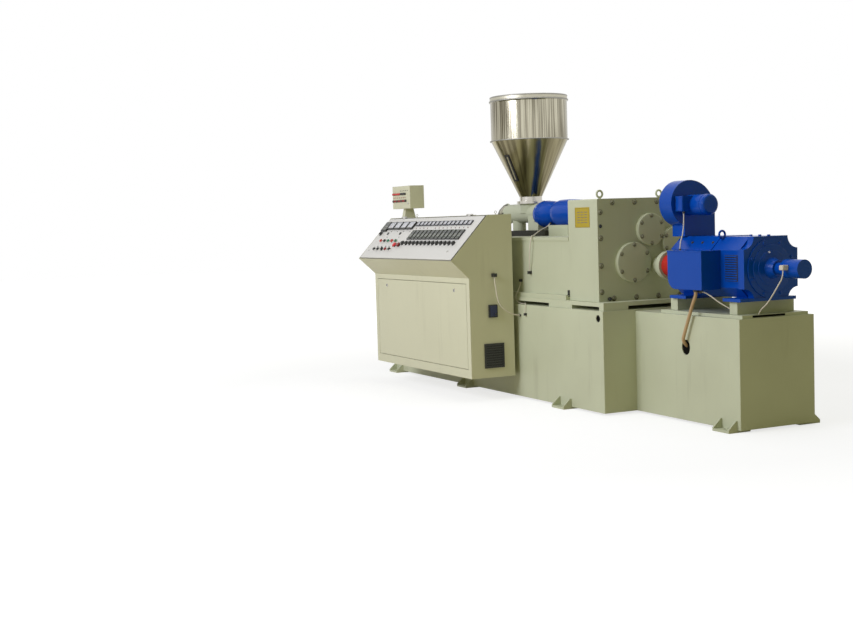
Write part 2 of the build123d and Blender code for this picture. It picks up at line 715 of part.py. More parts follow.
with BuildPart() as terminal:
    box_x = x_end - terminal_box_place[0]
    box_y1 = y_mid - frame_half
    with BuildSketch(Plane(origin=(box_x, box_y1, shaft_height + terminal_box_place[1]), x_dir=(1, 0, 0),
                           z_dir=(0, -1, 0))):
        Rectangle(terminal_box[0], terminal_box[2])
        fillet(vertices().group_by(Axis.X)[0].sort_by(Axis.Y)[0], terminal_corner)
    extrude(amount=terminal_box[1])
save(terminal, "motor_terminal_box")

with BuildPart() as louvre:
    louvre_x = x_end - louvre_panel_place[0]
    with BuildSketch(Plane(origin=(louvre_x, box_y1, shaft_height + louvre_panel_place[1]), x_dir=(1, 0, 0),
                           z_dir=(0, -1, 0))):
        Rectangle(*louvre_panel)
        with GridLocations(1, louvre_pitch, 1, louvre_slots):
            Rectangle(louvre_slot[0], louvre_slot[1], mode=Mode.SUBTRACT)
    extrude(amount=louvre_plate)
save(louvre, "motor_louvre_cover")

frame_top = shaft_height + frame_half

with BuildPart() as motor_eye:
    eye_foot = frame_top + motor_eye_ring - eye_ring - eye_shank
    lifting_eye(x_end - motor_eye_place[0], y_mid + motor_eye_place[1], eye_foot)
    add(motor_frame.part, mode=Mode.SUBTRACT)
save(motor_eye, "motor_lifting_eye")

hood_x1 = x_end - hood_end
hood_x0 = hood_x1 - hood_length
hood_top = frame_top + hood_height
hood_flat = frame_half - frame_chamfer

with BuildPart() as hood:
    with BuildSketch(Plane(origin=(hood_x0, y_mid, shaft_height), x_dir=(0, 1, 0), z_dir=(1, 0, 0))):
        side_y = frame_half + hood_sheet
        side_z = frame_half - frame_chamfer
        crown = frame_half + hood_height
        with BuildLine():
            Polyline((-side_y, side_z), (-side_y, side_z + hood_sheet), (-hood_flat, crown),
                     (hood_flat, crown), (side_y, side_z + hood_sheet), (side_y, side_z),
                     (frame_half, side_z), (hood_flat, frame_half), (-hood_flat, frame_half),
                     (-frame_half, side_z), close=True)
        make_face()
    extrude(amount=hood_length)
save(hood, "motor_air_hood")

# Blower

scroll_x1 = x_end - scroll_face
scroll_x0 = scroll_x1 - scroll_width
scroll_y = y_mid + scroll_centre[0]
scroll_z = hood_top + scroll_centre[1]
duct_y1 = scroll_y + scroll_radius + scroll_growth
duct_y0 = duct_y1 - duct_width

big_radius = scroll_radius + scroll_growth
duct_left = duct_y0 - scroll_y
casing_start = (duct_left, -sqrt(scroll_radius ** 2 - duct_left ** 2))
casing_end = (big_radius, -scroll_growth)
outlet = hood_top - scroll_z

with BuildPart() as scroll:
    with BuildSketch(Plane(origin=(scroll_x0, scroll_y, scroll_z), x_dir=(0, 1, 0), z_dir=(1, 0, 0))):
        with BuildLine():
            ThreePointArc(casing_start, (-scroll_radius, 0), (0, scroll_radius))
            CenterArc((0, -scroll_growth), big_radius, 90, -90)
            Polyline(casing_end, (big_radius, outlet), (duct_left, outlet), casing_start)
        make_face()
    extrude(amount=scroll_width)
save(scroll, "blower_scroll")

with BuildPart() as fan_motor:
    bar_x(scroll_x1, scroll_x1 + fan_motor_length, scroll_y, scroll_z - fan_motor_drop, fan_motor_radius)
    chamfer(fan_motor.edges().group_by(Axis.X)[-1], fan_motor_edge)
    fan_box_x = scroll_x1 + fan_box_place[0]
    fan_box_z = scroll_z - fan_box_place[1]
    block(fan_box_x - fan_box[0] / 2, fan_box_x + fan_box[0] / 2, scroll_y - fan_box[1], scroll_y,
          fan_box_z - fan_box[2] / 2, fan_box_z + fan_box[2] / 2)
save(fan_motor, "blower_motor")

# Operator console, hung on the bed

con_x1 = x_end - console_end
con_x0 = con_x1 - console_length
con_back = bed_front - console_gap
con_front = con_back - console_depth
lip_y = con_front - lip_out
slope_y = con_back - console_top_depth
slope_run = slope_y - lip_y
slope_rise = console_top - lip_height
slope_length = hypot(slope_run, slope_rise)
slope_angle = degrees(atan2(slope_rise, slope_run))
con_mid = (con_x0 + con_x1) / 2


def side_sheet(x):
    """One end sheet of the console, from its profile."""
    with BuildSketch(Plane(origin=(x, 0, 0), x_dir=(0, 1, 0), z_dir=(1, 0, 0))) as profile:
        with BuildLine():
            Polyline((con_back, console_bottom), (con_front, console_bottom),
                     (con_front, console_shoulder), (lip_y, lip_height), (slope_y, console_top),
                     (con_back, console_top), close=True)
        make_face()
    extrude(profile.sketch, amount=console_sheet)


with BuildPart() as sides:
    side_sheet(con_x0)
    side_sheet(con_x1 - console_sheet)
save(sides, "console_side_sheets")

in_x0 = con_x0 + console_sheet
in_x1 = con_x1 - console_sheet

hinge_lift = hinge_knuckle - 2          # hinge line above the sheet
hinge_y = slope_y
hinge_z = console_top + hinge_lift
strip_y0 = slope_y + hinge_knuckle + 3

with BuildPart() as wrap:
    block(in_x0, in_x1, con_back - console_sheet, con_back, console_bottom, console_top)
    block(in_x0, in_x1, con_front + front_depth, con_back, console_bottom, console_bottom + console_sheet)
    block(in_x0, in_x1, strip_y0, con_back, console_top - console_sheet, console_top)
save(wrap, "console_back_sheet")

door_x0 = con_x0 + door_side
door_x1 = con_x1 - door_side
door_z0 = console_bottom + door_rise
door_z1 = console_shoulder - door_drop

with BuildPart() as con_face:
    block(in_x0, in_x1, con_front, con_front + front_depth, console_bottom, console_shoulder)
    block(door_x0 - door_gap, door_x1 + door_gap, con_front, con_front + front_depth - console_sheet,
          door_z0 - door_gap, door_z1 + door_gap, mode=Mode.SUBTRACT)
save(con_face, "console_front")

with BuildPart() as door:
    block(door_x0, door_x1, con_front, con_front + front_depth - console_sheet, door_z0, door_z1)
save(door, "console_door")

chin_angle = atan2(lip_height - console_shoulder, lip_out)

with BuildPart() as chin:
    with BuildSketch(Plane(origin=(in_x0, 0, 0), x_dir=(0, 1, 0), z_dir=(1, 0, 0))):
        thick_y = console_sheet / sin(chin_angle)
        with BuildLine():
            Polyline((con_front, console_shoulder), (lip_y, lip_height), (lip_y + thick_y, lip_height),
                     (con_front + thick_y, console_shoulder), close=True)
        make_face()
    extrude(amount=in_x1 - in_x0)
save(chin, "console_chin")

# Instrument panel: a folded tray, hinged along its top edge

panel_plane = Plane(origin=(con_mid, lip_y, lip_height), x_dir=(1, 0, 0),
                    z_dir=(0, -sin(radians(slope_angle)), cos(radians(slope_angle))))
panel_half = (in_x1 - in_x0) / 2 - lid_gap
panel_low = lid_gap + 6
panel_high = slope_length - hinge_knuckle - 3
hinge_axis = panel_plane.to_local_coords(Vector(con_mid, hinge_y, hinge_z))
hinge_v = hinge_axis.Y

with BuildPart() as panel:
    with BuildSketch(panel_plane) as panel_outline:
        with Locations((0, (panel_low + panel_high) / 2)):
            Rectangle(2 * panel_half, panel_high - panel_low)
    extrude(amount=-lid_fold)
    with BuildSketch(panel_plane.offset(-lid_sheet)) as panel_inside:
        with Locations((0, (panel_low + panel_high) / 2)):
            Rectangle(2 * (panel_half - lid_sheet), panel_high - panel_low - 2 * lid_sheet)
    extrude(amount=-lid_fold, mode=Mode.SUBTRACT)
    for side in (-1, 1):
        hinge_x = con_mid + side * hinge_spacing / 2
        with BuildSketch(panel_plane) as panel_leaf:
            with Locations((hinge_x - con_mid, (panel_high - 4 + hinge_v) / 2)):
                Rectangle(hinge_length / 2 - 2, hinge_v - panel_high + 4)
        extrude(amount=hinge_leaf)
        bar_x(hinge_x - hinge_length / 4 + 1, hinge_x + hinge_length / 4 - 1, hinge_y, hinge_z,
              hinge_knuckle)
        bar_x(hinge_x - hinge_length / 4, hinge_x + hinge_length / 4, hinge_y, hinge_z,
              hinge_pin + hinge_play, mode=Mode.SUBTRACT)
save(panel, "instrument_panel")

with BuildPart() as hinges:
    for side in (-1, 1):
        hinge_x = con_mid + side * hinge_spacing / 2
        bar_x(hinge_x - hinge_length / 2, hinge_x + hinge_length / 2, hinge_y, hinge_z, hinge_pin)
        for x0 in (hinge_x - hinge_length / 2, hinge_x + hinge_length / 4):
            bar_x(x0, x0 + hinge_length / 4, hinge_y, hinge_z, hinge_knuckle)
            block(x0, x0 + hinge_length / 4, hinge_y, strip_y0 + 22, console_top, console_top + hinge_leaf)
save(hinges, "console_hinges")

# Instruments on the panel: middle along the panel from the console's middle, middle up the slope,
# width and height

large_meters = [(-788, 351, 104, 99)] + [(-674 + 124 * index, 360, 110, 77) for index in range(4)]
small_meters = [(-193 + 69 * index, 378, 60, 44) for index in range(14)]
controllers = [(-162 + 70.8 * index, 258, 62, 96) for index in range(13)]
knobs = [(-209 + 69.6 * index, 167) for index in range(14)]
buttons = [(-673 + 74 * index, 192) for index in range(5)] + [(-683 + 76 * index, 103) for index in range(5)]
mushroom_buttons = [(-330, 147), (-254, 147)]
large_meter_height = 14
small_meter_height = 9
knob_size = (18, 22)     # radius and height of each kind
button_size = (14, 15)
mushroom_size = (20, 22)


def on_panel(items, height):
    """Flat-fronted instruments that stand out of the instrument panel."""
    with BuildSketch(panel_plane) as outline:
        for item_x, item_v, width, tall in items:
            with Locations((item_x, item_v)):
                Rectangle(width, tall)
    extrude(outline.sketch, amount=height)


with BuildPart() as instruments:
    on_panel(large_meters, large_meter_height)
    on_panel(small_meters + controllers, small_meter_height)
save(instruments, "panel_instruments")


def on_panel_round(places, size):
    """Round knobs or buttons that stand out of the instrument panel."""
    with BuildSketch(panel_plane) as outline:
        with Locations(*places):
            Circle(size[0])
    extrude(outline.sketch, amount=size[1])


with BuildPart() as controls:
    on_panel_round(knobs, knob_size)
    on_panel_round(buttons, button_size)
    on_panel_round(mushroom_buttons, mushroom_size)
save(controls, "panel_knobs_and_buttons")

# What else the console carries

with BuildPart() as brackets:
    for x0 in (con_x0 + bracket_inset, con_x1 - bracket_inset - bracket_size):
        for z0 in (console_bottom + bracket_rise, main_bed_top - bracket_drop - bracket_size):
            block(x0, x0 + bracket_size, con_back, bed_front, z0, z0 + bracket_size)
save(brackets, "console_brackets")


def on_console_end(place):
    """The plane of the console's motor end, its middle at a place on it."""
    return Plane(origin=(con_x1, con_back - place[0], console_bottom + place[1]), x_dir=(0, 1, 0),
                 z_dir=(1, 0, 0))


with BuildPart() as vent:
    with BuildSketch(on_console_end(vent_place)):
        Rectangle(vent_size[0], vent_size[1])
        with GridLocations(1, vent_pitch, 1, vent_slats):
            Rectangle(vent_size[0] - 3 * vent_slot, vent_slot, mode=Mode.SUBTRACT)
    extrude(amount=vent_size[2])
save(vent, "console_vent_grille")

with BuildPart() as isolator:
    with BuildSketch(on_console_end(switch_place)):
        Rectangle(switch_size[0], switch_size[1])
        fillet(vertices(), switch_corner)
    extrude(amount=switch_size[2])
save(isolator, "console_isolator_switch")

with BuildPart() as console_eyes:
    eye_y = con_back - console_eye_back
    for eye_x in (con_x0 + console_eye_insets[0], con_x1 - console_eye_insets[1]):
        bar_z(eye_x, eye_y, console_top, console_top + console_eye_shank, 1.6 * console_eye[1])
        with Locations((eye_x, eye_y, console_top + console_eye_shank + console_eye[0])):
            Torus(*console_eye, rotation=(0, 90, 0))
save(console_eyes, "console_lifting_eyes")

operator_box_bottom = console_top + pedestal_height

with BuildPart() as op_box:
    op_x = con_x0 + operator_box_place[0]
    op_y = con_back - operator_box_place[1]
    for z, size in ((console_top, pedestal_foot), (operator_box_bottom, pedestal_head)):
        with BuildSketch(Plane.XY.offset(z)):
            with Locations((op_x, op_y)):
                Rectangle(*size)
    loft()
    block(op_x - operator_box[0] / 2, op_x + operator_box[0] / 2, op_y - operator_box[1] / 2,
          op_y + operator_box[1] / 2, operator_box_bottom, operator_box_bottom + operator_box[2])
save(op_box, "operator_box")

# Cables: points of each route in mm, from the gland where it starts to the one where it ends

blower_route = [(1486, 52, 1355), (1486, 52, 1296), (1492, 36, 1215), (1520, -6, 1168), (1524, -12, 1123)]
power_route = [(1757, -70, 857), (1757, -70, 830), (1733, -76, 785), (1697, -78, 700), (1658, -80, 612),
               (1620, -84, 512), (1604, 36, 466)]
field_route = [(1796, -52, 857), (1826, -52, 857), (1872, -38, 830), (1924, -4, 784), (1979, 37, 747)]
encoder_route = [(2300, 165, 996), (2300, 165, 955), (2280, 146, 905), (2238, 137, 843), (2180, 137, 781),
                 (2132, 134, 752), (2112, 130, 712), (2112, 130, 640)]
feeder_route = [(-386, 170, 1307.5), (-386, 145, 1282.5), (-376, 92, 1268), (-352, 36, 1246),
                (-300, -35, 1220), (-190, -105, 1218), (-80, -168, 1218), (30, -236, 1227),
                (72, -275, 1219), (62, -280, 1160), (46, -278, 1075), (32, -271, 1005), (20, -266, 958)]
console_route = [(-48, -528, 929), (-48, -528, 895), (-41, -524, 845), (-38, -519, 790), (-38, -505, 736),
                 (-42, -470, 692), (-48, -415, 657), (-50, -368, 636), (-46, -318, 630)]
wire_route = [(-122, -262, 879), (-122, -262, 862), (-124, -278, 828), (-129, -303, 778),
              (-131, -306, 745), (-85, -305, 722), (-38, -306, 718), (5, -303, 721), (38, -318, 727),
              (50, -327, 708), (40, -328, 675), (37, -326, 646)]


def cable(route, radius, name, past_end=(0, 0, 0)):
    """A cable as a plain tube whose bends are as large as its runs allow.

    It stops flat against what it enters, which lies beyond its last point less past_end.
    """
    points = [Vector(*point) for point in route]
    bends = []
    for before, corner, after in zip(points, points[1:], points[2:]):
        turn = radians((corner - before).get_angle(after - corner))
        run = min((corner - before).length, (after - corner).length)
        bends.append(0.45 * run / tan(turn / 2))
    print(name, "bend radii", [round(bend) for bend in bends])
    with BuildPart() as tube:
        with BuildLine() as path:
            FilletPolyline(*points, radius=bends)
        with BuildSketch(Plane(origin=points[0], z_dir=points[1] - points[0])):
            Circle(radius)
        sweep(path=path.line, transition=Transition.ROUND)
        beyond = Vector(*past_end)
        if beyond.length > 0:
            depth = 8 * radius
            face = points[-1] - beyond + beyond.normalized() * depth / 2
            with Locations(face):
                Box(depth, depth, depth, mode=Mode.SUBTRACT)
    save(tube, name)


cable(blower_route, 4, "blower_cable", (0, 0, -4))
cable(power_route, 11, "motor_power_cables", (0, 4.5, 0))
cable(field_route, 4, "motor_field_cable", (5.5, 0, 0))
cable(encoder_route, 4, "encoder_cable")
cable(feeder_route, 4.5, "feeder_cable", (0, 0, -4))
cable(console_route, 4.5, "console_cable", (0, 4, 0))
cable(wire_route, 2.5, "earth_wire", (0, 0, -4))


def corner_block(x, y, z, size):
    """A block of a given size whose lowest corner is at a point."""
    block(x, x + size[0], y, y + size[1], z, z + size[2])


with BuildPart() as glands:
    x = encoder_x0 + encoder_plug_place[0]
    corner_block(x, y_mid - encoder_plug_place[1], shaft_height + encoder_plug_place[2], encoder_plug)
    bar_x(encoder_x0, encoder_x1, y_mid, shaft_height, encoder_radius, mode=Mode.SUBTRACT)

    x = reducer_x1 - feeder_gland[0]
    slant = (reducer_radius + feeder_gland[1]) * sin(radians(45))
    gland_centre = (x, y_mid - slant, feeder_drive_height - slant)
    with Locations(Plane(origin=gland_centre, x_dir=(1, 0, 0), z_dir=(0, 1, 1))):
        Cylinder(gland_radius, 40, align=(Align.CENTER, Align.CENTER, Align.MIN))
    bar_x(reducer_x0, reducer_x1, y_mid, feeder_drive_height, reducer_radius, mode=Mode.SUBTRACT)

    fan_under = fan_box_z - fan_box[2] / 2
    bar_z(fan_box_x + fan_gland[0], scroll_y - fan_box[1] + fan_gland[1], fan_under - gland_length, fan_under,
          gland_radius)

    box_under = shaft_height + terminal_box_place[1] - terminal_box[2] / 2
    box_over = box_under + terminal_box[2]
    bar_z(box_x - lid_gland[0], box_y1 - lid_gland[1], box_over, box_over + gland_length, gland_radius)
    bar_z(box_x + power_gland_place[0], box_y1 - power_gland_place[1], box_under - gland_length, box_under,
          power_gland)
    corner_block(box_x + field_plug_place[0], box_y1 - field_plug_place[1],
                 box_under - field_plug[2], field_plug)

    x = case_x1 - feeder_clip_place[0]
    corner_block(x, gear_front - feeder_clip[1], base_top + feeder_clip_place[1], feeder_clip)
    corner_block(con_x1, con_back - console_elbow_place[0],
                 console_bottom + console_elbow_place[1], console_elbow)
    bar_y(con_x1 + bed_gland[0], bed_front - bed_gland[2], bed_front,
          main_bed_top - bed_gland[1], gland_radius)

    x = case_x1 - case_lug_place[0]
    block(x, x + earth_lug[0], gear_front - case_lug_place[2], gear_front, base_top + case_lug_place[1],
          base_top + case_lug_place[1] + earth_lug[1])
    x = x_end - bed_lug_place[0]
    block(x, x + earth_lug[0], bed_front - bed_lug_place[2], bed_front, main_bed_top - bed_lug_place[1],
          main_bed_top - bed_lug_place[1] + earth_lug[1])
save(glands, "cable_glands")
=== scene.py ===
# %% [markdown]
# # Finishing a plastic extruder over its CAD frame
#
# The machine is a twin-screw extruder with its operator console. The CAD model already holds every
# casting, sheet and motor at its real size, so this lesson adds what a camera sees: paint, steel,
# cables, bolts and the small parts of the instrument panel. Lengths are metres and the axes are the
# model's own: X runs along the line towards the drive motor, Y to the back, Z up.

import json
from math import cos, radians, sin

import bmesh
import bpy
from mathutils import Matrix, Vector

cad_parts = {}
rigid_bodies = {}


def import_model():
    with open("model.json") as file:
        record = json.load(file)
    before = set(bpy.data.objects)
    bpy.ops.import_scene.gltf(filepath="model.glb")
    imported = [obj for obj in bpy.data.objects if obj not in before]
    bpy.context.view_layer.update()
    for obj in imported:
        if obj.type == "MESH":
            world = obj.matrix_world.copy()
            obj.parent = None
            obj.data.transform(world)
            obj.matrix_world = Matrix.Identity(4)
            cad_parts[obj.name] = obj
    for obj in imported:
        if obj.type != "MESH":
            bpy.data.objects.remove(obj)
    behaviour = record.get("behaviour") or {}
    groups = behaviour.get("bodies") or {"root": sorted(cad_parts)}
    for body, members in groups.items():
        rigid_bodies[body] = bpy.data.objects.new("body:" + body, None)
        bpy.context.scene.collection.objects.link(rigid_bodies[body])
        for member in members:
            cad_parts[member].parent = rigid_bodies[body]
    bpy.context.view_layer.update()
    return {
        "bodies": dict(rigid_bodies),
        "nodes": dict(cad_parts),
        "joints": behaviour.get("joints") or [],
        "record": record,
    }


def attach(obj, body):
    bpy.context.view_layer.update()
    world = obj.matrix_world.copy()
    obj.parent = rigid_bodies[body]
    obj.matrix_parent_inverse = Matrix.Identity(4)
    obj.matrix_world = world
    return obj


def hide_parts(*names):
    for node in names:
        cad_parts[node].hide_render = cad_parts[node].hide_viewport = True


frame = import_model()
nodes = frame["nodes"]
print("the frame brings", len(nodes), "pieces")

# %% [markdown]
# ## Camera
#
# The photographer stood off the motor's end of the line and looked back along it, a little down. The
# view is the product photograph's, found from the machine's own straight edges, so the camera is set
# by its place, three turns and the lens. Depth of field stays off.

# %% Set the camera
camera_place = Vector((8.3794, -5.1647, 1.3608))
camera_yaw = radians(-64.248)
camera_pitch = radians(-3.990)
camera_roll = radians(-1.838)
camera_lens = 54.50

forward = Vector((sin(camera_yaw) * cos(camera_pitch), cos(camera_yaw) * cos(camera_pitch),
                  sin(camera_pitch)))
level = Vector((cos(camera_yaw), -sin(camera_yaw), 0))
above = level.cross(forward)
right = cos(camera_roll) * level + sin(camera_roll) * above
upward = cos(camera_roll) * above - sin(camera_roll) * level

camera_data = bpy.data.cameras.new("camera")
camera_data.lens = camera_lens
camera_data.sensor_width = 36
camera_data.clip_end = 200
camera = bpy.data.objects.new("camera", camera_data)
camera_turn = Matrix((right, upward, -forward)).transposed().to_4x4()
camera.matrix_world = Matrix.Translation(camera_place) @ camera_turn
bpy.context.collection.objects.link(camera)
bpy.context.scene.camera = camera
bpy.context.scene.view_settings.view_transform = "Standard"

# %% [markdown]
# ## Helpers for nodes
#
# A paint chart gives colours from 0 to 255, while nodes want linear values, so one small function
# turns one into the other. The others put a node in a tree and set it up, join two sockets, do a sum,
# mix two colours, or lay noise or a bump, which keeps the recipes below short enough to read.

# %% Node helpers
def chart(*levels):
    """A colour of a paint chart, 0 to 255, as the linear colour that nodes want."""
    linear = []
    for value in levels:
        part = value / 255
        linear.append(part / 12.92 if part <= 0.04045 else ((part + 0.055) / 1.055) ** 2.4)
    return (*linear, 1.0)


def join(tree, source, target):
    """Link a socket to an input, or write a plain value into it."""
    if isinstance(source, bpy.types.NodeSocket):
        tree.links.new(source, target)
    else:
        target.default_value = source


def give(tree, node, **settings):
    """Set up a node: a setting is one of its properties, or a value or socket for an input."""
    for name, value in settings.items():
        if hasattr(node, name):
            setattr(node, name, value)
        else:
            join(tree, value, node.inputs[name.replace("_", " ")])


def put(tree, kind, **settings):
    """Add a shader node and set it up."""
    made = tree.nodes.new("ShaderNode" + kind)
    give(tree, made, **settings)
    return made


def maths(tree, operation, first, second=0.0, third=0.0, clamp=False):
    """The result of one Math node."""
    made = put(tree, "Math", operation=operation, use_clamp=clamp)
    for socket, value in zip(made.inputs, (first, second, third)):
        join(tree, value, socket)
    return made.outputs[0]


def product(tree, first, *others):
    """Several values multiplied in turn."""
    for value in others:
        first = maths(tree, "MULTIPLY", first, value)
    return first


def tint(tree, share, first, second):
    """One colour over another by a share from 0 to 1."""
    made = put(tree, "Mix", data_type="RGBA")
    for place, value in ((0, share), (6, first), (7, second)):
        join(tree, value, made.inputs[place])
    return made.outputs[2]


def stretch(tree, value, low, high):
    """A value's range from low to high, spread over 0 to 1."""
    return put(tree, "MapRange", From_Min=low, From_Max=high, Value=value).outputs[0]


def here(tree):
    """A point's own place on the model, in metres."""
    return put(tree, "TexCoord").outputs["Object"]


def apart(tree, vector):
    """The three parts of a vector, by name."""
    return put(tree, "SeparateXYZ", Vector=vector).outputs


def speckle(tree, size, detail=3.0, drawn_out=(1, 1, 1), place=None):
    """Noise whose grains are about size metres across, drawn out by the three factors."""
    scale = [1 / (size * factor) for factor in drawn_out]
    mapping = put(tree, "Mapping", Scale=scale, Vector=here(tree) if place is None else place)
    return put(tree, "TexNoise", Scale=1.0, Detail=detail, Vector=mapping.outputs[0]).outputs[0]


def bump(tree, height, normal, strength, distance):
    """A normal roughened by a height."""
    return put(tree, "Bump", Strength=strength, Distance=distance, Height=height, Normal=normal).outputs[0]


# %% [markdown]
# ## Shared effects
#
# Two effects turn up on nearly every finish of this machine, so each is a node group that is built
# once. "Broken edge" rounds the sharp corner that a folded sheet or a casting shows and marks where
# hands and tools rub. "Workshop grime" clouds a colour as uneven spray does, lets runs of dirt come
# down the upright faces and lays dust on whatever looks up.

# %% Group: broken edge
def open_group(name, inputs, outputs):
    """A new node group with its named sockets, and its entry and exit nodes."""
    group = bpy.data.node_groups.new(name, "ShaderNodeTree")
    for label, kind, value in inputs:
        group.interface.new_socket(label, in_out="INPUT", socket_type=kind).default_value = value
    for label, kind in outputs:
        group.interface.new_socket(label, in_out="OUTPUT", socket_type=kind)
    return group, group.nodes.new("NodeGroupInput"), group.nodes.new("NodeGroupOutput")


broken_edge, entry, leave = open_group(
    "Broken edge",
    [("Radius", "NodeSocketFloat", 0.002), ("Rubbed", "NodeSocketFloat", 0.5)],
    [("Normal", "NodeSocketVector"), ("Mask", "NodeSocketFloat")],
)
rounded = put(broken_edge, "Bevel", samples=4, Radius=entry.outputs["Radius"]).outputs[0]
surface = put(broken_edge, "NewGeometry")
likeness = put(broken_edge, "VectorMath", operation="DOT_PRODUCT", Vector=rounded)
join(broken_edge, surface.outputs["Normal"], likeness.inputs[1])
corner = stretch(broken_edge, likeness.outputs["Value"], 0.985, 0.80)
patches = stretch(broken_edge, speckle(broken_edge, 0.05, 5.0), 0.45, 0.62)
worn = product(broken_edge, corner, patches, entry.outputs["Rubbed"])
give(broken_edge, leave, Normal=rounded, Mask=worn)

# %% Group: workshop grime
shop_dirt = (112, 104, 78)
cloud_depth = 0.22
grime, entry, leave = open_group(
    "Workshop grime",
    [("Colour", "NodeSocketColor", (1, 1, 1, 1)), ("Dirt", "NodeSocketColor", chart(*shop_dirt)),
     ("Cloud", "NodeSocketFloat", 0.5), ("Runs", "NodeSocketFloat", 0.3), ("Dust", "NodeSocketFloat", 0.3)],
    [("Colour", "NodeSocketColor"), ("Cover", "NodeSocketFloat"), ("Height", "NodeSocketFloat")],
)
spray = stretch(grime, speckle(grime, 0.55, 4.0), 0.35, 0.7)
clouded = product(grime, spray, entry.outputs["Cloud"], cloud_depth)
streaks = stretch(grime, speckle(grime, 0.05, 4.0, (1, 1, 14)), 0.56, 0.78)
patchy = stretch(grime, speckle(grime, 0.5, 2.0), 0.45, 0.65)
run_down = product(grime, streaks, patchy, entry.outputs["Runs"])
surface = put(grime, "NewGeometry")
upper = stretch(grime, apart(grime, surface.outputs["Normal"])["Z"], 0.55, 0.95)
settled = stretch(grime, speckle(grime, 0.12, 5.0), 0.3, 0.75)
dusty = product(grime, upper, settled, entry.outputs["Dust"])
cover = maths(grime, "ADD", maths(grime, "ADD", clouded, run_down), dusty, clamp=True)
dirtied = tint(grime, cover, entry.outputs["Colour"], entry.outputs["Dirt"])
give(grime, leave, Colour=dirtied, Cover=cover, Height=speckle(grime, 0.0035, 2.0))

# %% [markdown]
# ## Paint
#
# The machine is sprayed with a pale grey-green on bed and gearbox, a creamier tone on the console and
# a deep blue on the bought-in motors, and a few small parts are black, red or yellow. All are the same
# recipe with other values, so one function makes them: grime over the colour, a lighter rubbed edge, a
# satin film whose gloss varies with the dirt, and the fine orange peel of spray as a bump.

# %% Paint recipe
def fresh_material(name):
    """A material with its Principled shader, and the tree they live in."""
    material = bpy.data.materials.new(name)
    material.use_nodes = True
    return material, material.node_tree, material.node_tree.nodes["Principled BSDF"]


def paint(name, colour, rubbed, dirt=shop_dirt, cloud=0.5, runs=0.3, dust=0.3, gloss=0.38, wear=0.35,
          peel=0.05, shine=0.22):
    """Sprayed paint with its grime, rubbed edges and orange peel."""
    material, tree, shader = fresh_material(name)
    edges = put(tree, "Group", node_tree=broken_edge, Radius=0.0022, Rubbed=wear)
    dirty = put(tree, "Group", node_tree=grime, Colour=chart(*colour), Dirt=chart(*dirt), Cloud=cloud,
                Runs=runs, Dust=dust)
    film = tint(tree, edges.outputs["Mask"], dirty.outputs["Colour"], chart(*rubbed))
    rough = maths(tree, "MULTIPLY_ADD", dirty.outputs["Cover"], 0.35, gloss)
    skin = bump(tree, dirty.outputs["Height"], edges.outputs["Normal"], peel, 0.001)
    give(tree, shader, Base_Color=film, Roughness=rough, Normal=skin, Specular_IOR_Level=shine)
    return material


bed_paint = paint("bed paint", (196, 200, 173), (216, 218, 202), runs=0.18, dust=0.15)
gear_paint = paint("gearbox paint", (194, 198, 171), (216, 218, 202), runs=0.12, dust=0.2, peel=0.12)
console_paint = paint("console paint", (207, 206, 179), (230, 229, 212), runs=0.1, dust=0.1, cloud=0.25)
panel_paint = paint("panel paint", (208, 206, 201), (224, 222, 216), runs=0.05, dust=0.05, cloud=0.2,
                    gloss=0.3)
blue = paint("motor blue", (5, 72, 172), (40, 104, 196), (20, 44, 110), runs=0.1, dust=0.03, gloss=0.2,
             wear=0.4, peel=0.12, shine=0.14)
black_paint = paint("black paint", (44, 45, 42), (96, 94, 86), runs=0.2, dust=0.4, wear=0.6)
coupling_red = paint("coupling red", (190, 48, 40), (206, 96, 80), (110, 48, 36), runs=0.3, dust=0.2,
                     wear=0.5)
yellow_plate = paint("yellow plate", (176, 154, 44), (196, 178, 80), runs=0.1, dust=0.1, cloud=0.2)

# %% [markdown]
# ## Steel and plastic
#
# Bare metal takes its look from what it reflects, so its recipe is mostly roughness: long fine
# scratches for brushed sheet, a coarser skin for turned and cast steel. The hopper's hand-rolled
# sheet is never flat. Slow dents in its bump bend the reflections. Upright streaks of painted
# reflection run round it in its base colour, dark where the sheet would mirror the hall and bright
# between, down to the pale neck.

# %% Metal recipe
def metal(name, colour, rough, scratch=0.4, grain=0.004, drawn_out=(1, 1, 1), dents=0.0):
    """Bare metal: scratched lines drawn out one way, stains in patches and dents in slow waves."""
    material, tree, shader = fresh_material(name)
    stain = 0.25
    edges = put(tree, "Group", node_tree=broken_edge, Radius=0.0012, Rubbed=0.3)
    dirty = put(tree, "Group", node_tree=grime, Colour=chart(*colour), Dirt=chart(96, 90, 74), Cloud=stain,
                Runs=stain, Dust=stain)
    lines = speckle(tree, grain, 3.0, drawn_out)
    waves = speckle(tree, 0.09, 1.0, (1, 1, 2.5))
    scratched = maths(tree, "ADD", product(tree, lines, scratch * 0.5), rough)
    rough_sum = maths(tree, "ADD", scratched, product(tree, dirty.outputs["Cover"], 0.3))
    dented = bump(tree, waves, edges.outputs["Normal"], dents, 0.02)
    film = tint(tree, edges.outputs["Mask"], dirty.outputs["Colour"], chart(214, 214, 210))
    skin = bump(tree, lines, dented, scratch * 0.3, 0.0006)
    give(tree, shader, Base_Color=film, Roughness=rough_sum, Normal=skin, Metallic=1.0)
    return material


hopper_axis = (-0.803, 0.2475)
neck_height = 1.534


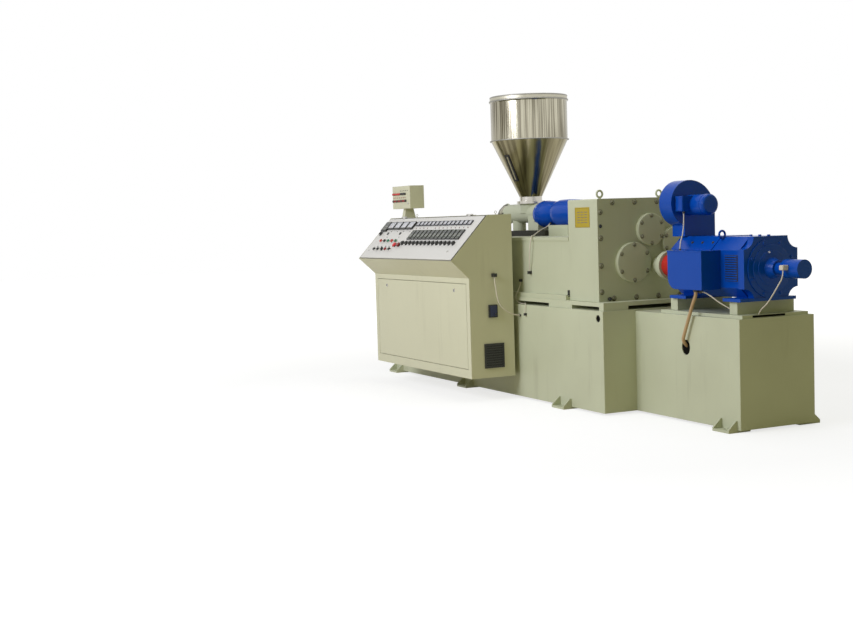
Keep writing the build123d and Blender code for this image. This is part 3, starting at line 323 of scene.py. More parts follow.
def rolled(name, dark, bright, painted_streaks_round=26.0):
    """Hand-rolled sheet whose base colour carries painted reflections, upright dark and bright streaks round
    the hopper's axis.
    """
    material = metal(name, (206, 200, 186), 0.12, 0.25, 0.006, (1, 1, 9), dents=0.12)
    tree = material.node_tree
    to_axis = (-hopper_axis[0], -hopper_axis[1], 0)
    centred = put(tree, "Mapping", Location=to_axis, Vector=here(tree)).outputs[0]
    split = apart(tree, centred)
    # Painted reflections: the streaks round the axis and the broad patches tint the base colour dark and
    # bright, standing in for the hall mirrored in the sheet.
    around = maths(tree, "ARCTAN2", split["Y"], split["X"])
    place = put(tree, "CombineXYZ", X=product(tree, around, painted_streaks_round), Y=product(tree, split["Z"], 1.1))
    noise = put(tree, "TexNoise", Scale=1.0, Detail=2.0, Roughness=0.6, Vector=place.outputs[0])
    streak = stretch(tree, noise.outputs[0], 0.40, 0.60)
    broad = stretch(tree, speckle(tree, 0.30, 1.0, (1, 1, 3), centred), 0.38, 0.62)
    share = maths(tree, "MULTIPLY_ADD", streak, 0.6, product(tree, broad, 0.4))
    sheet = tint(tree, share, chart(*dark), chart(*bright))
    neck = stretch(tree, split["Z"], neck_height, neck_height - 0.004)
    sheet = tint(tree, neck, sheet, chart(196, 192, 182))
    give(tree, tree.nodes["Principled BSDF"], Base_Color=sheet)
    return material


drum_steel_painted_reflections = rolled("hopper drum steel with painted reflections", (80, 72, 52), (204, 199, 178))
cone_steel_painted_reflections = rolled("hopper cone steel with painted reflections", (92, 84, 62), (172, 164, 132), 5.0)
lid_steel = metal("hopper lid steel", (190, 186, 168), 0.25, dents=0.12)
turned_steel = metal("turned steel", (150, 148, 140), 0.3, 0.6, 0.003, (0.4, 3, 3))
cast_aluminium = metal("cast aluminium", (178, 178, 172), 0.4, 0.8, 0.003)
zinc = metal("zinc-plated steel", (196, 194, 186), 0.28, 0.5, 0.003)

# %% Plastic recipe
def plastic(name, colour, rough=0.45, mottle=0.2, depth=0.08, wear=0.2, shine=0.5):
    """Moulded plastic or rubber: a slightly uneven colour and a fine moulded grain."""
    material, tree, shader = fresh_material(name)
    edges = put(tree, "Group", node_tree=broken_edge, Radius=0.0008, Rubbed=wear)
    dirty = put(tree, "Group", node_tree=grime, Colour=chart(*colour), Cloud=mottle, Runs=0.0, Dust=0.25)
    skin = speckle(tree, 0.0012, 2.0)
    lighter = chart(*[min(255, value + 34) for value in colour])
    film = tint(tree, edges.outputs["Mask"], dirty.outputs["Colour"], lighter)
    rough_sum = maths(tree, "ADD", product(tree, skin, 0.12), rough)
    grained = bump(tree, skin, edges.outputs["Normal"], depth, 0.0004)
    give(tree, shader, Base_Color=film, Roughness=rough_sum, Normal=grained, Specular_IOR_Level=shine)
    return material


black = plastic("black plastic", (34, 35, 34), 0.42)
cable_white = plastic("cable white", (214, 206, 192), 0.5, 0.5)
cable_brown = plastic("cable brown", (184, 152, 112), 0.6, 0.8)
rubber = plastic("black rubber", (28, 27, 26), 0.7)

# %% [markdown]
# ## Which piece wears what
#
# The shape of each casting and sheet is right as it comes, so it keeps its mesh and only its material
# slots are filled. The list reads like a paint order: a finish, then the pieces it goes on.

# %% Dress the CAD pieces
finishes = [
    (bed_paint, ["bed_main_section", "bed_motor_section", "bed_feet", "gearbox_base_plate", "barrel_stand",
                 "barrel_guard", "feeder_supports", "motor_cross_beams", "feeder_housing"]),
    (gear_paint, ["gearbox_housing", "gearbox_end_plate", "gearbox_lifting_eyes", "gearbox_input_boss",
                  "distribution_gear_case"]),
    (console_paint, ["console_side_sheets", "console_back_sheet", "console_front", "console_door",
                     "console_chin", "console_brackets", "operator_box"]),
    (panel_paint, ["instrument_panel"]),
    (blue, ["motor_frame", "motor_rear_bell", "motor_drive_bell", "shaft_encoder", "motor_terminal_box",
            "motor_louvre_cover", "motor_lifting_eye", "motor_air_hood", "blower_scroll", "blower_motor"]),
    (coupling_red, ["drive_coupling"]),
    (black_paint, ["feeder_base_plate"]),
    (drum_steel_painted_reflections, ["hopper_drum"]),
    (lid_steel, ["hopper_lid"]),
    (cone_steel_painted_reflections, ["hopper_cone"]),
    (turned_steel, ["barrel", "die_adapter", "feed_throat"]),
    (cast_aluminium, ["barrel_heater_shells"]),
    (zinc, ["console_hinges", "console_lifting_eyes"]),
    (black, ["console_vent_grille", "console_isolator_switch", "cable_glands"]),
]
dressed = 0
for material, names in finishes:
    for name in names:
        for material_slot in nodes[name].material_slots:
            material_slot.material = material
        dressed += 1
print("dressed", dressed, "CAD pieces")

# %% [markdown]
# ## Cables
#
# A cable is a limp thing that leaves its gland straight, bends at once under its own weight and runs
# to the next gland. Each is a NURBS curve whose control points are the route of the CAD tube, so it
# passes smoothly near every corner and lies where the tube lies. The bevel depth is its radius.

# %% Routes of the cables
blower_route = [(1.486, 0.052, 1.355), (1.486, 0.052, 1.296), (1.492, 0.036, 1.215),
                (1.520, -0.006, 1.168), (1.524, -0.012, 1.123)]
power_route = [(1.757, -0.070, 0.857), (1.757, -0.070, 0.830), (1.733, -0.076, 0.785),
               (1.697, -0.078, 0.700), (1.658, -0.080, 0.612), (1.620, -0.084, 0.512),
               (1.604, 0.036, 0.466)]
field_route = [(1.796, -0.052, 0.857), (1.826, -0.052, 0.857), (1.872, -0.038, 0.830),
               (1.924, -0.004, 0.784), (1.979, 0.037, 0.747)]
encoder_route = [(2.300, 0.165, 0.996), (2.300, 0.165, 0.955), (2.280, 0.146, 0.905),
                 (2.238, 0.137, 0.843), (2.180, 0.137, 0.781), (2.132, 0.134, 0.752),
                 (2.112, 0.130, 0.712), (2.112, 0.130, 0.640)]
feeder_route = [(-0.386, 0.170, 1.3075), (-0.386, 0.145, 1.2825), (-0.376, 0.092, 1.268),
                (-0.352, 0.036, 1.246), (-0.300, -0.035, 1.220), (-0.190, -0.105, 1.218),
                (-0.080, -0.168, 1.218), (0.030, -0.236, 1.227), (0.072, -0.275, 1.219),
                (0.062, -0.280, 1.160), (0.046, -0.278, 1.075), (0.032, -0.271, 1.005),
                (0.020, -0.266, 0.958)]
console_route = [(-0.048, -0.528, 0.929), (-0.048, -0.528, 0.895), (-0.041, -0.524, 0.845),
                 (-0.038, -0.519, 0.790), (-0.038, -0.505, 0.736), (-0.042, -0.470, 0.692),
                 (-0.048, -0.415, 0.657), (-0.050, -0.368, 0.636), (-0.046, -0.318, 0.630)]
earth_route = [(-0.122, -0.262, 0.879), (-0.122, -0.262, 0.862), (-0.124, -0.278, 0.828),
               (-0.129, -0.303, 0.778), (-0.131, -0.306, 0.745), (-0.085, -0.305, 0.722),
               (-0.038, -0.306, 0.718), (0.005, -0.303, 0.721), (0.038, -0.318, 0.727),
               (0.050, -0.327, 0.708), (0.040, -0.328, 0.675), (0.037, -0.326, 0.646)]


# %% Lay the cables
def lay_cable(name, node, route, diameter=0.008, finish=cable_white):
    """A cable on a smooth curve near its route, in place of the plain CAD tube."""
    curve = bpy.data.curves.new(name, "CURVE")
    curve.dimensions = "3D"
    curve.bevel_depth = diameter / 2
    curve.bevel_resolution = 4
    curve.use_fill_caps = True
    line = curve.splines.new("NURBS")
    line.points.add(len(route) - 1)
    for point, place in zip(line.points, route):
        point.co = (*place, 1.0)
    line.order_u = 3
    line.use_endpoint_u = True
    line.resolution_u = 12
    curve.materials.append(finish)
    cable = bpy.data.objects.new(name, curve)
    bpy.context.collection.objects.link(cable)
    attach(cable, "machine")
    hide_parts(node)


lay_cable("blower_lead", "blower_cable", blower_route)
lay_cable("motor_power_bundle", "motor_power_cables", power_route, 0.022, cable_brown)
lay_cable("motor_field_lead", "motor_field_cable", field_route)
lay_cable("encoder_lead", "encoder_cable", encoder_route)
lay_cable("feeder_lead", "feeder_cable", feeder_route, 0.009)
lay_cable("console_lead", "console_cable", console_route, 0.009)
lay_cable("earth_lead", "earth_wire", earth_route, 0.005)

# %% [markdown]
# ## Tools of the bench
#
# Small parts are modelled lying flat on the bench, with X to the right, Y up the front and Z towards
# the reader, and are then stood in their place on the machine. The tools are a rounded block, a rounded
# disc, a front that is inset and pushed in, rows and circles of copies, and a fitting that joins the
# parts and applies the final place, so that each finished object sits at the origin with its place in
# its mesh.

# %% Bench tools: shapes
def deselect():
    """Leave every object unselected."""
    bpy.ops.object.select_all(action="DESELECT")


def apply_place():
    """Write the object's own place, turn and scale into its mesh."""
    bpy.ops.object.transform_apply(location=True, rotation=True, scale=True)


def edit_all():
    """Enter edit mode with the whole mesh selected."""
    bpy.ops.object.mode_set(mode="EDIT")
    bpy.ops.mesh.select_all(action="SELECT")


def finished(made, finish, smooth_below=0):
    """Leave edit mode, smooth the edges below an angle in degrees and give the mesh its finish."""
    bpy.ops.object.mode_set(mode="OBJECT")
    if smooth_below:
        bpy.ops.object.shade_smooth_by_angle(angle=radians(smooth_below))
    made.data.materials.append(finish)
    return made


def pick(made, test):
    """In edit mode, select the faces for which the test of middle and normal holds."""
    bpy.ops.mesh.select_mode(type="FACE")
    bpy.ops.mesh.select_all(action="DESELECT")
    shape = bmesh.from_edit_mesh(made.data)
    for face in shape.faces:
        face.select_set(test(face.calc_center_median(), face.normal))
    bmesh.update_edit_mesh(made.data)


def block(size, centre, finish, round_by=0.0008, turn=0.0, segments=2):
    """A block with rounded edges, turned about Z, in one finish."""
    deselect()
    bpy.ops.mesh.primitive_cube_add(size=1, location=centre, rotation=(0, 0, turn))
    made = bpy.context.object
    made.scale = size
    apply_place()
    edit_all()
    bpy.ops.mesh.bevel(offset=round_by, segments=segments, affect="EDGES")
    return finished(made, finish)


def disc(radius, low, high, finish, centre=(0, 0), round_by=0.001, taper=1.0, sides=24, segments=2):
    """A round part from low to high along Z, its front narrowed by taper and its rim rounded."""
    deselect()
    bpy.ops.mesh.primitive_cylinder_add(vertices=sides, radius=radius, depth=high - low,
                                        location=(*centre, (low + high) / 2))
    made = bpy.context.object
    apply_place()
    bpy.ops.object.mode_set(mode="EDIT")
    pick(made, lambda middle, normal: normal.z > 0.9)
    bpy.ops.transform.resize(value=(taper, taper, 1))
    bpy.ops.mesh.bevel(offset=round_by, segments=segments, affect="EDGES")
    return finished(made, finish, 40)


def push_in(made, height, frame, depth, finish, slope=0.0008):
    """Inset the front face that lies at a height, push it in and give it another finish."""
    made.data.materials.append(finish)
    deselect()
    bpy.context.view_layer.objects.active = made
    made.select_set(True)
    bpy.ops.object.mode_set(mode="EDIT")
    pick(made, lambda middle, normal: normal.z > 0.9 and abs(middle.z - height) < 0.0003)
    bpy.ops.mesh.inset(thickness=frame)
    bpy.ops.mesh.inset(thickness=slope, depth=-depth)
    made.active_material_index = len(made.data.materials) - 1
    bpy.ops.object.material_slot_assign()
    bpy.ops.object.mode_set(mode="OBJECT")
    return made


def draw_out(factors, centre):
    """Stretch the whole mesh of the active object by three factors about a centre."""
    edit_all()
    bpy.ops.transform.resize(value=factors, center_override=centre)
    bpy.ops.object.mode_set(mode="OBJECT")


# %% Bench tools: joining, copying and placing
def weld(name, pieces, place=None):
    """Join pieces to one object, stand it in its place and write that into the mesh."""
    deselect()
    for piece in pieces:
        piece.select_set(True)
    bpy.context.view_layer.objects.active = pieces[0]
    if len(pieces) > 1:
        bpy.ops.object.join()
    made = bpy.context.object
    made.name = name
    if place is not None:
        made.matrix_world = place
        apply_place()
    return made


def fit(name, pieces, place, slot_name, *replaced, body="machine"):
    """Weld pieces in their place and let them ride on a body, for the CAD nodes that they replace."""
    piece = weld(name, pieces, place)
    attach(piece, body)
    if replaced:
        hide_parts(*replaced)


def copies(model, places):
    """The model moved to each place, every copy with its own mesh; the model itself goes."""
    made = []
    for place in places:
        copy = model.copy()
        copy.data = model.data.copy()
        copy.data.transform(Matrix.Translation((*place, 0) if len(place) == 2 else place))
        bpy.context.collection.objects.link(copy)
        made.append(copy)
    bpy.data.objects.remove(model)
    return made


def in_row(first, pitch, count, height):
    """Places side by side at one height."""
    return [(first + pitch * index, height) for index in range(count)]


def on_circle(middle, radius, count, start=90):
    """Places spread evenly round a middle."""
    angles = [radians(start + 360 * index / count) for index in range(count)]
    return [(middle[0] + radius * cos(angle), middle[1] + radius * sin(angle)) for angle in angles]


def facing(origin, across, up):
    """The place of a bench whose X runs along across and whose Y runs along up."""
    across, up = Vector(across).normalized(), Vector(up).normalized()
    turn = Matrix((across, up, across.cross(up))).transposed().to_4x4()
    return Matrix.Translation(origin) @ turn


def on_front(y, x=0, z=0):
    """A bench on an upright wall that faces the operator's side."""
    return facing((x, y, z), (1, 0, 0), (0, 0, 1))


def on_end(x, y=0, z=0):
    """A bench on an upright wall that faces the motor's end of the line."""
    return facing((x, y, z), (0, 1, 0), (0, 0, 1))


# %% [markdown]
# ## Instrument panel
#
# The sloping lid is what an operator looks at all day: an electronic display, four large ammeters,
# fourteen small ones, thirteen temperature controllers, a row of knobs, push buttons in two rows and
# two emergency mushrooms. Each kind is modelled once. A meter is a black block whose front is inset
# to a frame and pushed in to a pale face, with a needle over it; a knob is a skirt, a tapered grip and
# a pointer. All of them ride with the lid when it is lifted.

# %% Finishes of the instruments
meter_face = plastic("meter face", (196, 197, 202), 0.22, 0.1, depth=0.02)
meter_case = plastic("meter case", (58, 60, 68), 0.4)
display_grey = plastic("display grey", (124, 128, 120), 0.35)
# This dark finish also serves as painted shade, behind the vent's slats and the motor's louvres.
display_dark_and_painted_shade = plastic("display dark and painted shade", (46, 50, 50), 0.18)
label_grey = plastic("label grey", (112, 110, 106), 0.4, 0.3)
lens_red = plastic("red lens", (206, 44, 40), 0.3, wear=0.5)
lens_dark_red = plastic("dark red lens", (150, 40, 40), 0.35)
lens_green = plastic("green lens", (36, 132, 92), 0.3, wear=0.5)
mushroom_red = plastic("mushroom red", (206, 36, 44), 0.28, 0.15, wear=0.6)
mushroom_dark = plastic("mushroom dark", (118, 22, 28), 0.28, 0.15, wear=0.6)

# %% Place of the panel
panel_tilt = radians(46.51)
panel_place = facing((-0.9375, -0.8775, 1.061), (1, 0, 0), (0, cos(panel_tilt), sin(panel_tilt)))


def fit_panel(name, pieces, slot_name, *replaced):
    """Fit a piece on the panel, so that it rides with the lid."""
    fit(name, pieces, panel_place, slot_name, *replaced, body="instrument_panel")


# %% Meters and controllers
def meter(width, tall, rise, frame, ticks, case):
    """A moving-coil meter: frame, pale face, a scale of short ticks and a needle."""
    body = block((width, tall, rise + 0.002), (0, 0, rise / 2 - 0.001), case)
    parts = [push_in(body, rise, frame, 0.002, meter_face)]
    pivot, reach = -0.32 * tall, 0.62 * tall
    scale_start, scale_turn, needle_turn = 45, 90, 24
    for index in range(ticks):
        lean = radians(scale_start - scale_turn * index / (ticks - 1))
        spot = (-reach * sin(lean), pivot + reach * cos(lean), rise - 0.0016)
        parts.append(block((0.0009, 0.05 * tall, 0.0008), spot, black, 0.0001, lean, 1))
    lean = radians(needle_turn)
    middle = (-0.4 * reach * sin(lean), pivot + 0.4 * reach * cos(lean), rise - 0.0014)
    parts.append(block((0.0008, 0.8 * reach, 0.0006), middle, lens_dark_red, 0.0001, lean, 1))
    parts.append(block((width - 2 * frame - 0.006, 0.12 * tall, 0.0012), (0, -0.38 * tall, rise - 0.0014),
                       label_grey, 0.0003))
    return weld("meter", parts)


large_count, small_count, controller_count = 4, 14, 13
large_meters = copies(meter(0.110, 0.077, 0.014, 0.0055, 11, black),
                      in_row(-0.674, 0.124, large_count, 0.360))
small_meters = copies(meter(0.058, 0.044, 0.009, 0.0050, 7, meter_case),
                      in_row(-0.193, 0.069, small_count, 0.378))
fit_panel("panel_meters", large_meters + small_meters, "instrument_plastic", "panel_instruments")

display = block((0.104, 0.099, 0.016), (0, 0, 0.006), black, 0.0015)
parts = [push_in(display, 0.014, 0.007, 0.002, display_grey),
         block((0.070, 0.030, 0.0015), (0, 0.022, 0.0125), display_dark_and_painted_shade, 0.0004)]
for row in range(2):
    for column in range(4):
        spot = (-0.029 + 0.0193 * column, -0.012 - 0.018 * row, 0.0125)
        parts.append(block((0.013, 0.010, 0.003), spot, label_grey, 0.0006))
fit_panel("panel_display", copies(weld("display", parts), [(-0.788, 0.351)]), "instrument_plastic")

body = block((0.062, 0.096, 0.011), (0, 0, 0.0035), black, 0.001)
parts = [push_in(body, 0.009, 0.006, 0.0015, display_grey),
         block((0.042, 0.026, 0.0012), (0, 0.022, 0.0078), display_dark_and_painted_shade, 0.0003),
         block((0.030, 0.006, 0.0008), (0, -0.004, 0.0077), label_grey, 0.0002)]
for column in range(4):
    spot = (-0.0165 + 0.011 * column, -0.028, 0.0082)
    parts.append(block((0.007, 0.009, 0.0024), spot, black, 0.0005))
controllers = copies(weld("controller", parts), in_row(-0.162, 0.0708, controller_count, 0.258))
fit_panel("temperature_controllers", controllers, "instrument_plastic")
print("instruments:", 1 + large_count + small_count + controller_count)


# %% Knobs and buttons
def knob():
    """A potentiometer knob: skirt, tapered grip, pointer and its pale line."""
    return weld("knob", [
        disc(0.018, -0.001, 0.005, black, round_by=0.0012),
        disc(0.0145, 0.004, 0.022, black, round_by=0.0015, taper=0.88, sides=20),
        block((0.008, 0.020, 0.013), (0.0085, 0.0085, 0.0145), black, 0.001, radians(-45)),
        block((0.0014, 0.010, 0.0006), (0.008, 0.008, 0.0213), meter_face, 0.0001, radians(-45), 1),
    ])


def button(cap, raised=0.015):
    """A push button: a bright ring and a coloured cap with a dished top."""
    ring = disc(0.014, -0.001, 0.005, zinc, round_by=0.0012)
    lens = disc(0.0132, 0.003, raised, cap, round_by=0.0018, taper=0.94)
    return weld("button", [ring, push_in(lens, raised, 0.003, 0.001, cap)])


def mushroom(cap):
    """An emergency button: a black collar, a neck and a broad head."""
    return weld("mushroom", [
        disc(0.015, -0.001, 0.006, black),
        disc(0.009, 0.005, 0.012, black),
        disc(0.020, 0.010, 0.022, cap, round_by=0.005, taper=0.94, sides=32, segments=4),
    ])


upper_row, lower_row = 0.192, 0.103
buttons = [(lens_red, -0.673, upper_row), (black, -0.599, upper_row), (lens_green, -0.525, upper_row),
           (lens_red, -0.451, upper_row), (lens_green, -0.377, upper_row), (black, -0.683, lower_row),
           (black, -0.607, lower_row), (lens_dark_red, -0.455, lower_row),
           (black, -0.379, lower_row)]
controls = copies(knob(), in_row(-0.209, 0.0696, small_count, 0.167))
for cap, across, height in buttons:
    controls += copies(button(cap), [(across, height)])
for cap, across in ((mushroom_red, -0.330), (mushroom_dark, -0.254)):
    controls += copies(mushroom(cap), [(across, 0.147)])
lever = weld("lever", [disc(0.014, -0.001, 0.006, black),
                       block((0.010, 0.030, 0.014), (0, 0.004, 0.011), black, 0.002, radians(20))])
controls += copies(lever, [(-0.531, lower_row)])
fit_panel("panel_controls", controls, "button_plastic", "panel_knobs_and_buttons")
print("controls:", len(controls))

# %% Lamps, labels, switches and locks
lamp = weld("lamp", [disc(0.0048, -0.001, 0.002, black, sides=16, round_by=0.0005),
                     disc(0.0032, 0.001, 0.0035, lens_dark_red, sides=16, round_by=0.0008)])
lamp_places = in_row(-0.180, 0.0693, small_count, 0.331)
del lamp_places[4]
trim = copies(lamp, lamp_places)
trim += copies(block((0.024, 0.007, 0.002), (0, 0, 0.0005), display_dark_and_painted_shade, 0.0003),
               [(across, 0.137) for across in (-0.666, -0.590, -0.506, -0.436, -0.363)])
trim += copies(block((0.016, 0.006, 0.002), (0, 0, 0.0005), label_grey, 0.0003),
               [(-0.627, 0.300), (-0.509, 0.300), (-0.383, 0.300), (-0.262, 0.300), (-0.629, 0.238),
                (-0.391, 0.238)])
rocker = [block((0.020, 0.024, 0.006), (0, 0, 0.002), black, 0.001),
          block((0.013, 0.018, 0.004), (0, 0, 0.006), display_dark_and_painted_shade, 0.0015)]
trim += copies(weld("rocker", rocker), [(-0.661, 0.277), (-0.417, 0.278)])
selector = [block((0.036, 0.036, 0.006), (0, 0, 0.002), black, 0.0015),
            disc(0.014, 0.004, 0.012, black),
            block((0.008, 0.028, 0.008), (0, 0, 0.015), black, 0.0015, radians(-35))]
trim += copies(weld("selector", selector), [(-0.803, 0.276)])
lock = [disc(0.010, -0.001, 0.003, zinc),
        block((0.0022, 0.012, 0.0012), (0, 0, 0.0032), black, 0.0002, radians(30), 1)]
trim += copies(weld("lock", lock), [(-0.783, 0.089), (0.693, 0.091)])
fit_panel("panel_trim", trim, "button_plastic")
print("panel trim:", len(trim), "parts")

# %% [markdown]
# ## Gearbox: bearing covers, screws and the lubrication plate
#
# The end of the gearbox is a thick plate on a ring of socket screws, and four round covers close the
# bearings behind it. A cover is a disc with a broad chamfer, which catches the light on its left in
# the photograph, and its smaller screws sit on a circle inside the rim. A screw is a low round head
# in the paint of the gearbox, with a darker olive socket pushed into it.

# %% Bearing covers with their screws
end_wall = on_end(0.929)
front_wall = on_front(-0.2525)
shaft_y, shaft_z = 0.2475, 1.0
socket_olive = plastic("socket olive", (112, 110, 84), 0.5, 0.4)


def screw(radius, height=0.004, base=0.0):
    """A socket screw: a rounded head with a darker olive socket."""
    head = disc(radius, base - 0.001, base + height, gear_paint, sides=16, round_by=0.0012)
    return push_in(head, base + height, radius * 0.4, 0.0025, socket_olive)


cover_front = 0.030
covers = []
for across, height, radius in ((-0.221, 0.029, 0.140), (-0.072, 0.253, 0.113), (0.127, 0.162, 0.104),
                               (0.226, -0.070, 0.100)):
    middle = (shaft_y + across, shaft_z + height)
    covers.append(disc(radius, -0.002, cover_front, gear_paint, middle, round_by=0.007, sides=64, segments=3))
    covers += copies(screw(0.0046, 0.003, cover_front), on_circle(middle, radius - 0.017, 6))
fit("bearing_covers", covers, end_wall, "bed_paint", "gearbox_bearing_covers")

# %% Screws of the end plate
top_row, bottom_row = 1.446, 0.786
left_column, right_column = -0.229, 0.724
rim_screws = [(across, height) for across in (-0.131, 0.056, 0.242, 0.430, 0.617)
              for height in (top_row, bottom_row)]
rim_screws += [(across, height) for across in (left_column, right_column)
               for height in (1.382, 1.203, 1.014, 0.833)]
plate_parts = copies(screw(0.0082), rim_screws)
plate_parts += copies(disc(0.013, -0.001, 0.003, display_dark_and_painted_shade), [(-0.230, 1.286)])
plate_parts += copies(disc(0.013, -0.001, 0.022, black, sides=6, round_by=0.002), [(-0.172, 0.784)])
fit("end_plate_screws", plate_parts, end_wall, "bed_paint")
print("screws in the end plate:", len(rim_screws))

# %% Lubrication plate and breather on the front
plate = block((0.184, 0.140, 0.004), (0.741, 1.350, 0.001), yellow_plate, 0.0012)
plate = push_in(plate, 0.003, 0.006, 0.0008, yellow_plate)
marks = copies(block((0.034, 0.005, 0.001), (0, 0, 0.0024), label_grey, 0.0002),
               [(0.694 + 0.047 * i, 1.314 + 0.018 * j) for i in range(3) for j in range(5)])
fit("lubrication_plate", [plate] + marks, front_wall, "bed_paint")
plug = [block((0.012, 0.040, 0.014), (0.549, 0.816, 0.006), black, 0.002),
        disc(0.010, -0.001, 0.016, black, (0.546, 0.793))]
fit("front_plug", plug, front_wall, "black_plastic")

# %% [markdown]
# ## Operator box
#
# The small box on the stalk carries the haul-off controls: a row of indicator dots, a row of red and
# black buttons, a row of dark red dots and a row of dark red and black buttons, with a key switch at
# the corner. The buttons are plainer than on the big panel and about three quarters of their size.

# %% Controls of the operator box
def small_button(cap, radius=0.0105):
    """A small push button: a dark ring and a coloured cap."""
    ring = disc(radius, -0.001, 0.004, black, sides=16)
    return weld("small_button", [ring, disc(radius * 0.84, 0.003, 0.011, cap, round_by=0.0015, sides=16)])


def dots(finish, places):
    """A row of small indicator dots."""
    return copies(disc(0.0045, -0.001, 0.003, finish, sides=12, round_by=0.0008), places)


box_parts = dots(label_grey, in_row(-1.664, 0.034, 5, 1.622))
for index in range(10):
    box_parts += copies(small_button(lens_red if index < 6 else black),
                        [(-1.810 + 0.0262 * index, 1.595)])
    box_parts += copies(small_button(lens_dark_red if index % 3 else black),
                        [(-1.810 + 0.0275 * index, 1.536)])
box_parts += dots(lens_dark_red, in_row(-1.800, 0.037, 7, 1.564))
box_parts += copies(disc(0.010, -0.001, 0.006, zinc, round_by=0.0015), [(-1.523, 1.517)])
fit("operator_box_controls", box_parts, on_front(-0.529), "button_plastic")

# %% [markdown]
# ## Console: vent, isolator, door locks and edge trim
#
# Behind the vent's slats is darkness, so a dark pad lies in it. The isolator has a navy face with a
# small knob and the door two quarter-turn locks. Rubber trim runs up the sloping edge at the motor's
# end, on which the lid closes.

# %% Fittings of the console
console_end = on_end(-0.072)
fit("vent_pad", [block((0.156, 0.174, 0.003), (-0.535, 0.339, 0.0005), display_dark_and_painted_shade, 0.0005)], console_end,
    "black_plastic")
navy = plastic("navy plate", (34, 42, 78), 0.3)
isolator = [block((0.052, 0.078, 0.005), (-0.541, 0.674, 0.0195), navy, 0.0015),
            disc(0.009, 0.018, 0.034, black, (-0.525, 0.650), round_by=0.002)]
fit("isolator_face", isolator, console_end, "black_plastic")
lock = [disc(0.014, -0.001, 0.004, zinc, round_by=0.0015), disc(0.0085, 0.003, 0.0055, display_dark_and_painted_shade),
        block((0.003, 0.014, 0.002), (0, 0, 0.006), zinc, 0.0004, radians(90))]
fit("door_locks", copies(weld("door_lock", lock), [(-1.558, 0.832), (-0.321, 0.830)]), on_front(-0.7305),
    "zinc_steel")
slope_length = 0.4562
edge_trim = block((0.0095, slope_length - 0.012, 0.012), (0.8604, slope_length / 2, -0.0025), rubber, 0.002)
fit("edge_trims", [edge_trim], panel_place, "black_plastic")

# %% [markdown]
# ## Openings of the bed
#
# The real bed is hollow, and its cable hole, its small round hole and the slot at the raised plate's end
# show only darkness. The solid stand-in is as pale inside as outside, so a dark pad lies just inside
# each opening. A disc, drawn out upwards for the oval one, is enough, as only its face shows.

# %% Dark pads in the openings
bed_darkness = plastic("darkness in the bed", (12, 12, 11), 0.9, 0.1, shine=0.05)
oval_width, oval_height = 0.084, 0.100
oval_pad = disc(0.0430, -0.011, -0.007, bed_darkness, sides=48)
draw_out((1, oval_height / oval_width, 1), (0, 0, 0))
fit("cable_hole_pad", [oval_pad], on_front(-0.0485, 1.617, 0.492), "black_plastic")
round_pad = disc(0.0255, -0.009, -0.005, bed_darkness, sides=32)
fit("round_hole_pad", [round_pad], on_front(-0.3145, 1.003, 0.660), "black_plastic")
slot_pad = block((0.255, 0.013, 0.003), (0, 0, 0.0005), bed_darkness, 0.0008)
fit("cable_slot_pad", [slot_pad], on_end(2.135, 0.194, 0.7105), "black_plastic")

# %% [markdown]
# ## Motor and blower
#
# The big motor is a welded and cast DC machine. What the casting lacks is its small ironwork: hooded
# louvres that let the cooling air out, hexagon screws on hood and end bell, a lid on the terminal box,
# the round nose of the blower's motor and the pale plug on the encoder.

# %% Louvres of the motor
louvre_middle = 1.972
# The dark plate under the slats is painted shade: it stands for the darkness inside the louvres' openings.
louvres = [block((0.124, 0.164, 0.0012), (louvre_middle, 1.006, 0.0002), display_dark_and_painted_shade, 0.0003)]
slat = block((0.116, 0.0085, 0.0070), (0, 0, 0.0035), blue, 0.0022)
louvres += copies(slat, [(louvre_middle, 0.932 + 0.0148 * index) for index in range(11)])
fit("motor_louvres", louvres, on_front(0.041), "machine_blue")


# %% Screws and rings of the end bell
def hexagon(radius=0.009, height=0.007, finish=blue):
    """A hexagon head on its washer."""
    return weld("hexagon", [disc(radius * 1.25, -0.001, 0.0015, finish, sides=20, round_by=0.0004),
                            disc(radius, 0.001, height, finish, sides=6, round_by=0.0009)])


shaft = (shaft_y, shaft_z)
bell_parts = [disc(size, -0.002, reach, blue, shaft, round_by=0.003, sides=64, segments=3)
              for size, reach in ((0.150, 0.004), (0.112, 0.009))]
bell_parts += copies(hexagon(), on_circle(shaft, 0.168, 8, 22.5))
nipple_spot = (shaft_y - 0.031, shaft_z + 0.100)
bell_parts += [disc(0.006, -0.001, 0.014, zinc, nipple_spot),
               disc(0.0035, 0.013, 0.020, zinc, nipple_spot)]
fit("end_bell_fittings", bell_parts, on_end(2.107), "machine_blue")

# %% Terminal box lid, hood screws and top screws
lid = block((0.356, 0.156, 0.006), (1.684, -0.028, 1.1155), blue, 0.0015)
top_screws = copies(hexagon(0.010, 0.009), [(1.832 + 0.083 * index, shaft_y, 1.2005) for index in (1, 2, 3)])
fit("terminal_box_lid", [lid] + top_screws, None, "machine_blue")
hood_slope = facing((0, 0.0435, 1.122), (1, 0, 0), (0, 0.086, 0.082))
hood_screws = copies(hexagon(0.008, 0.006, black), in_row(1.530, 0.105, 3, 0.060))
fit("hood_screws", hood_screws, hood_slope, "machine_blue")

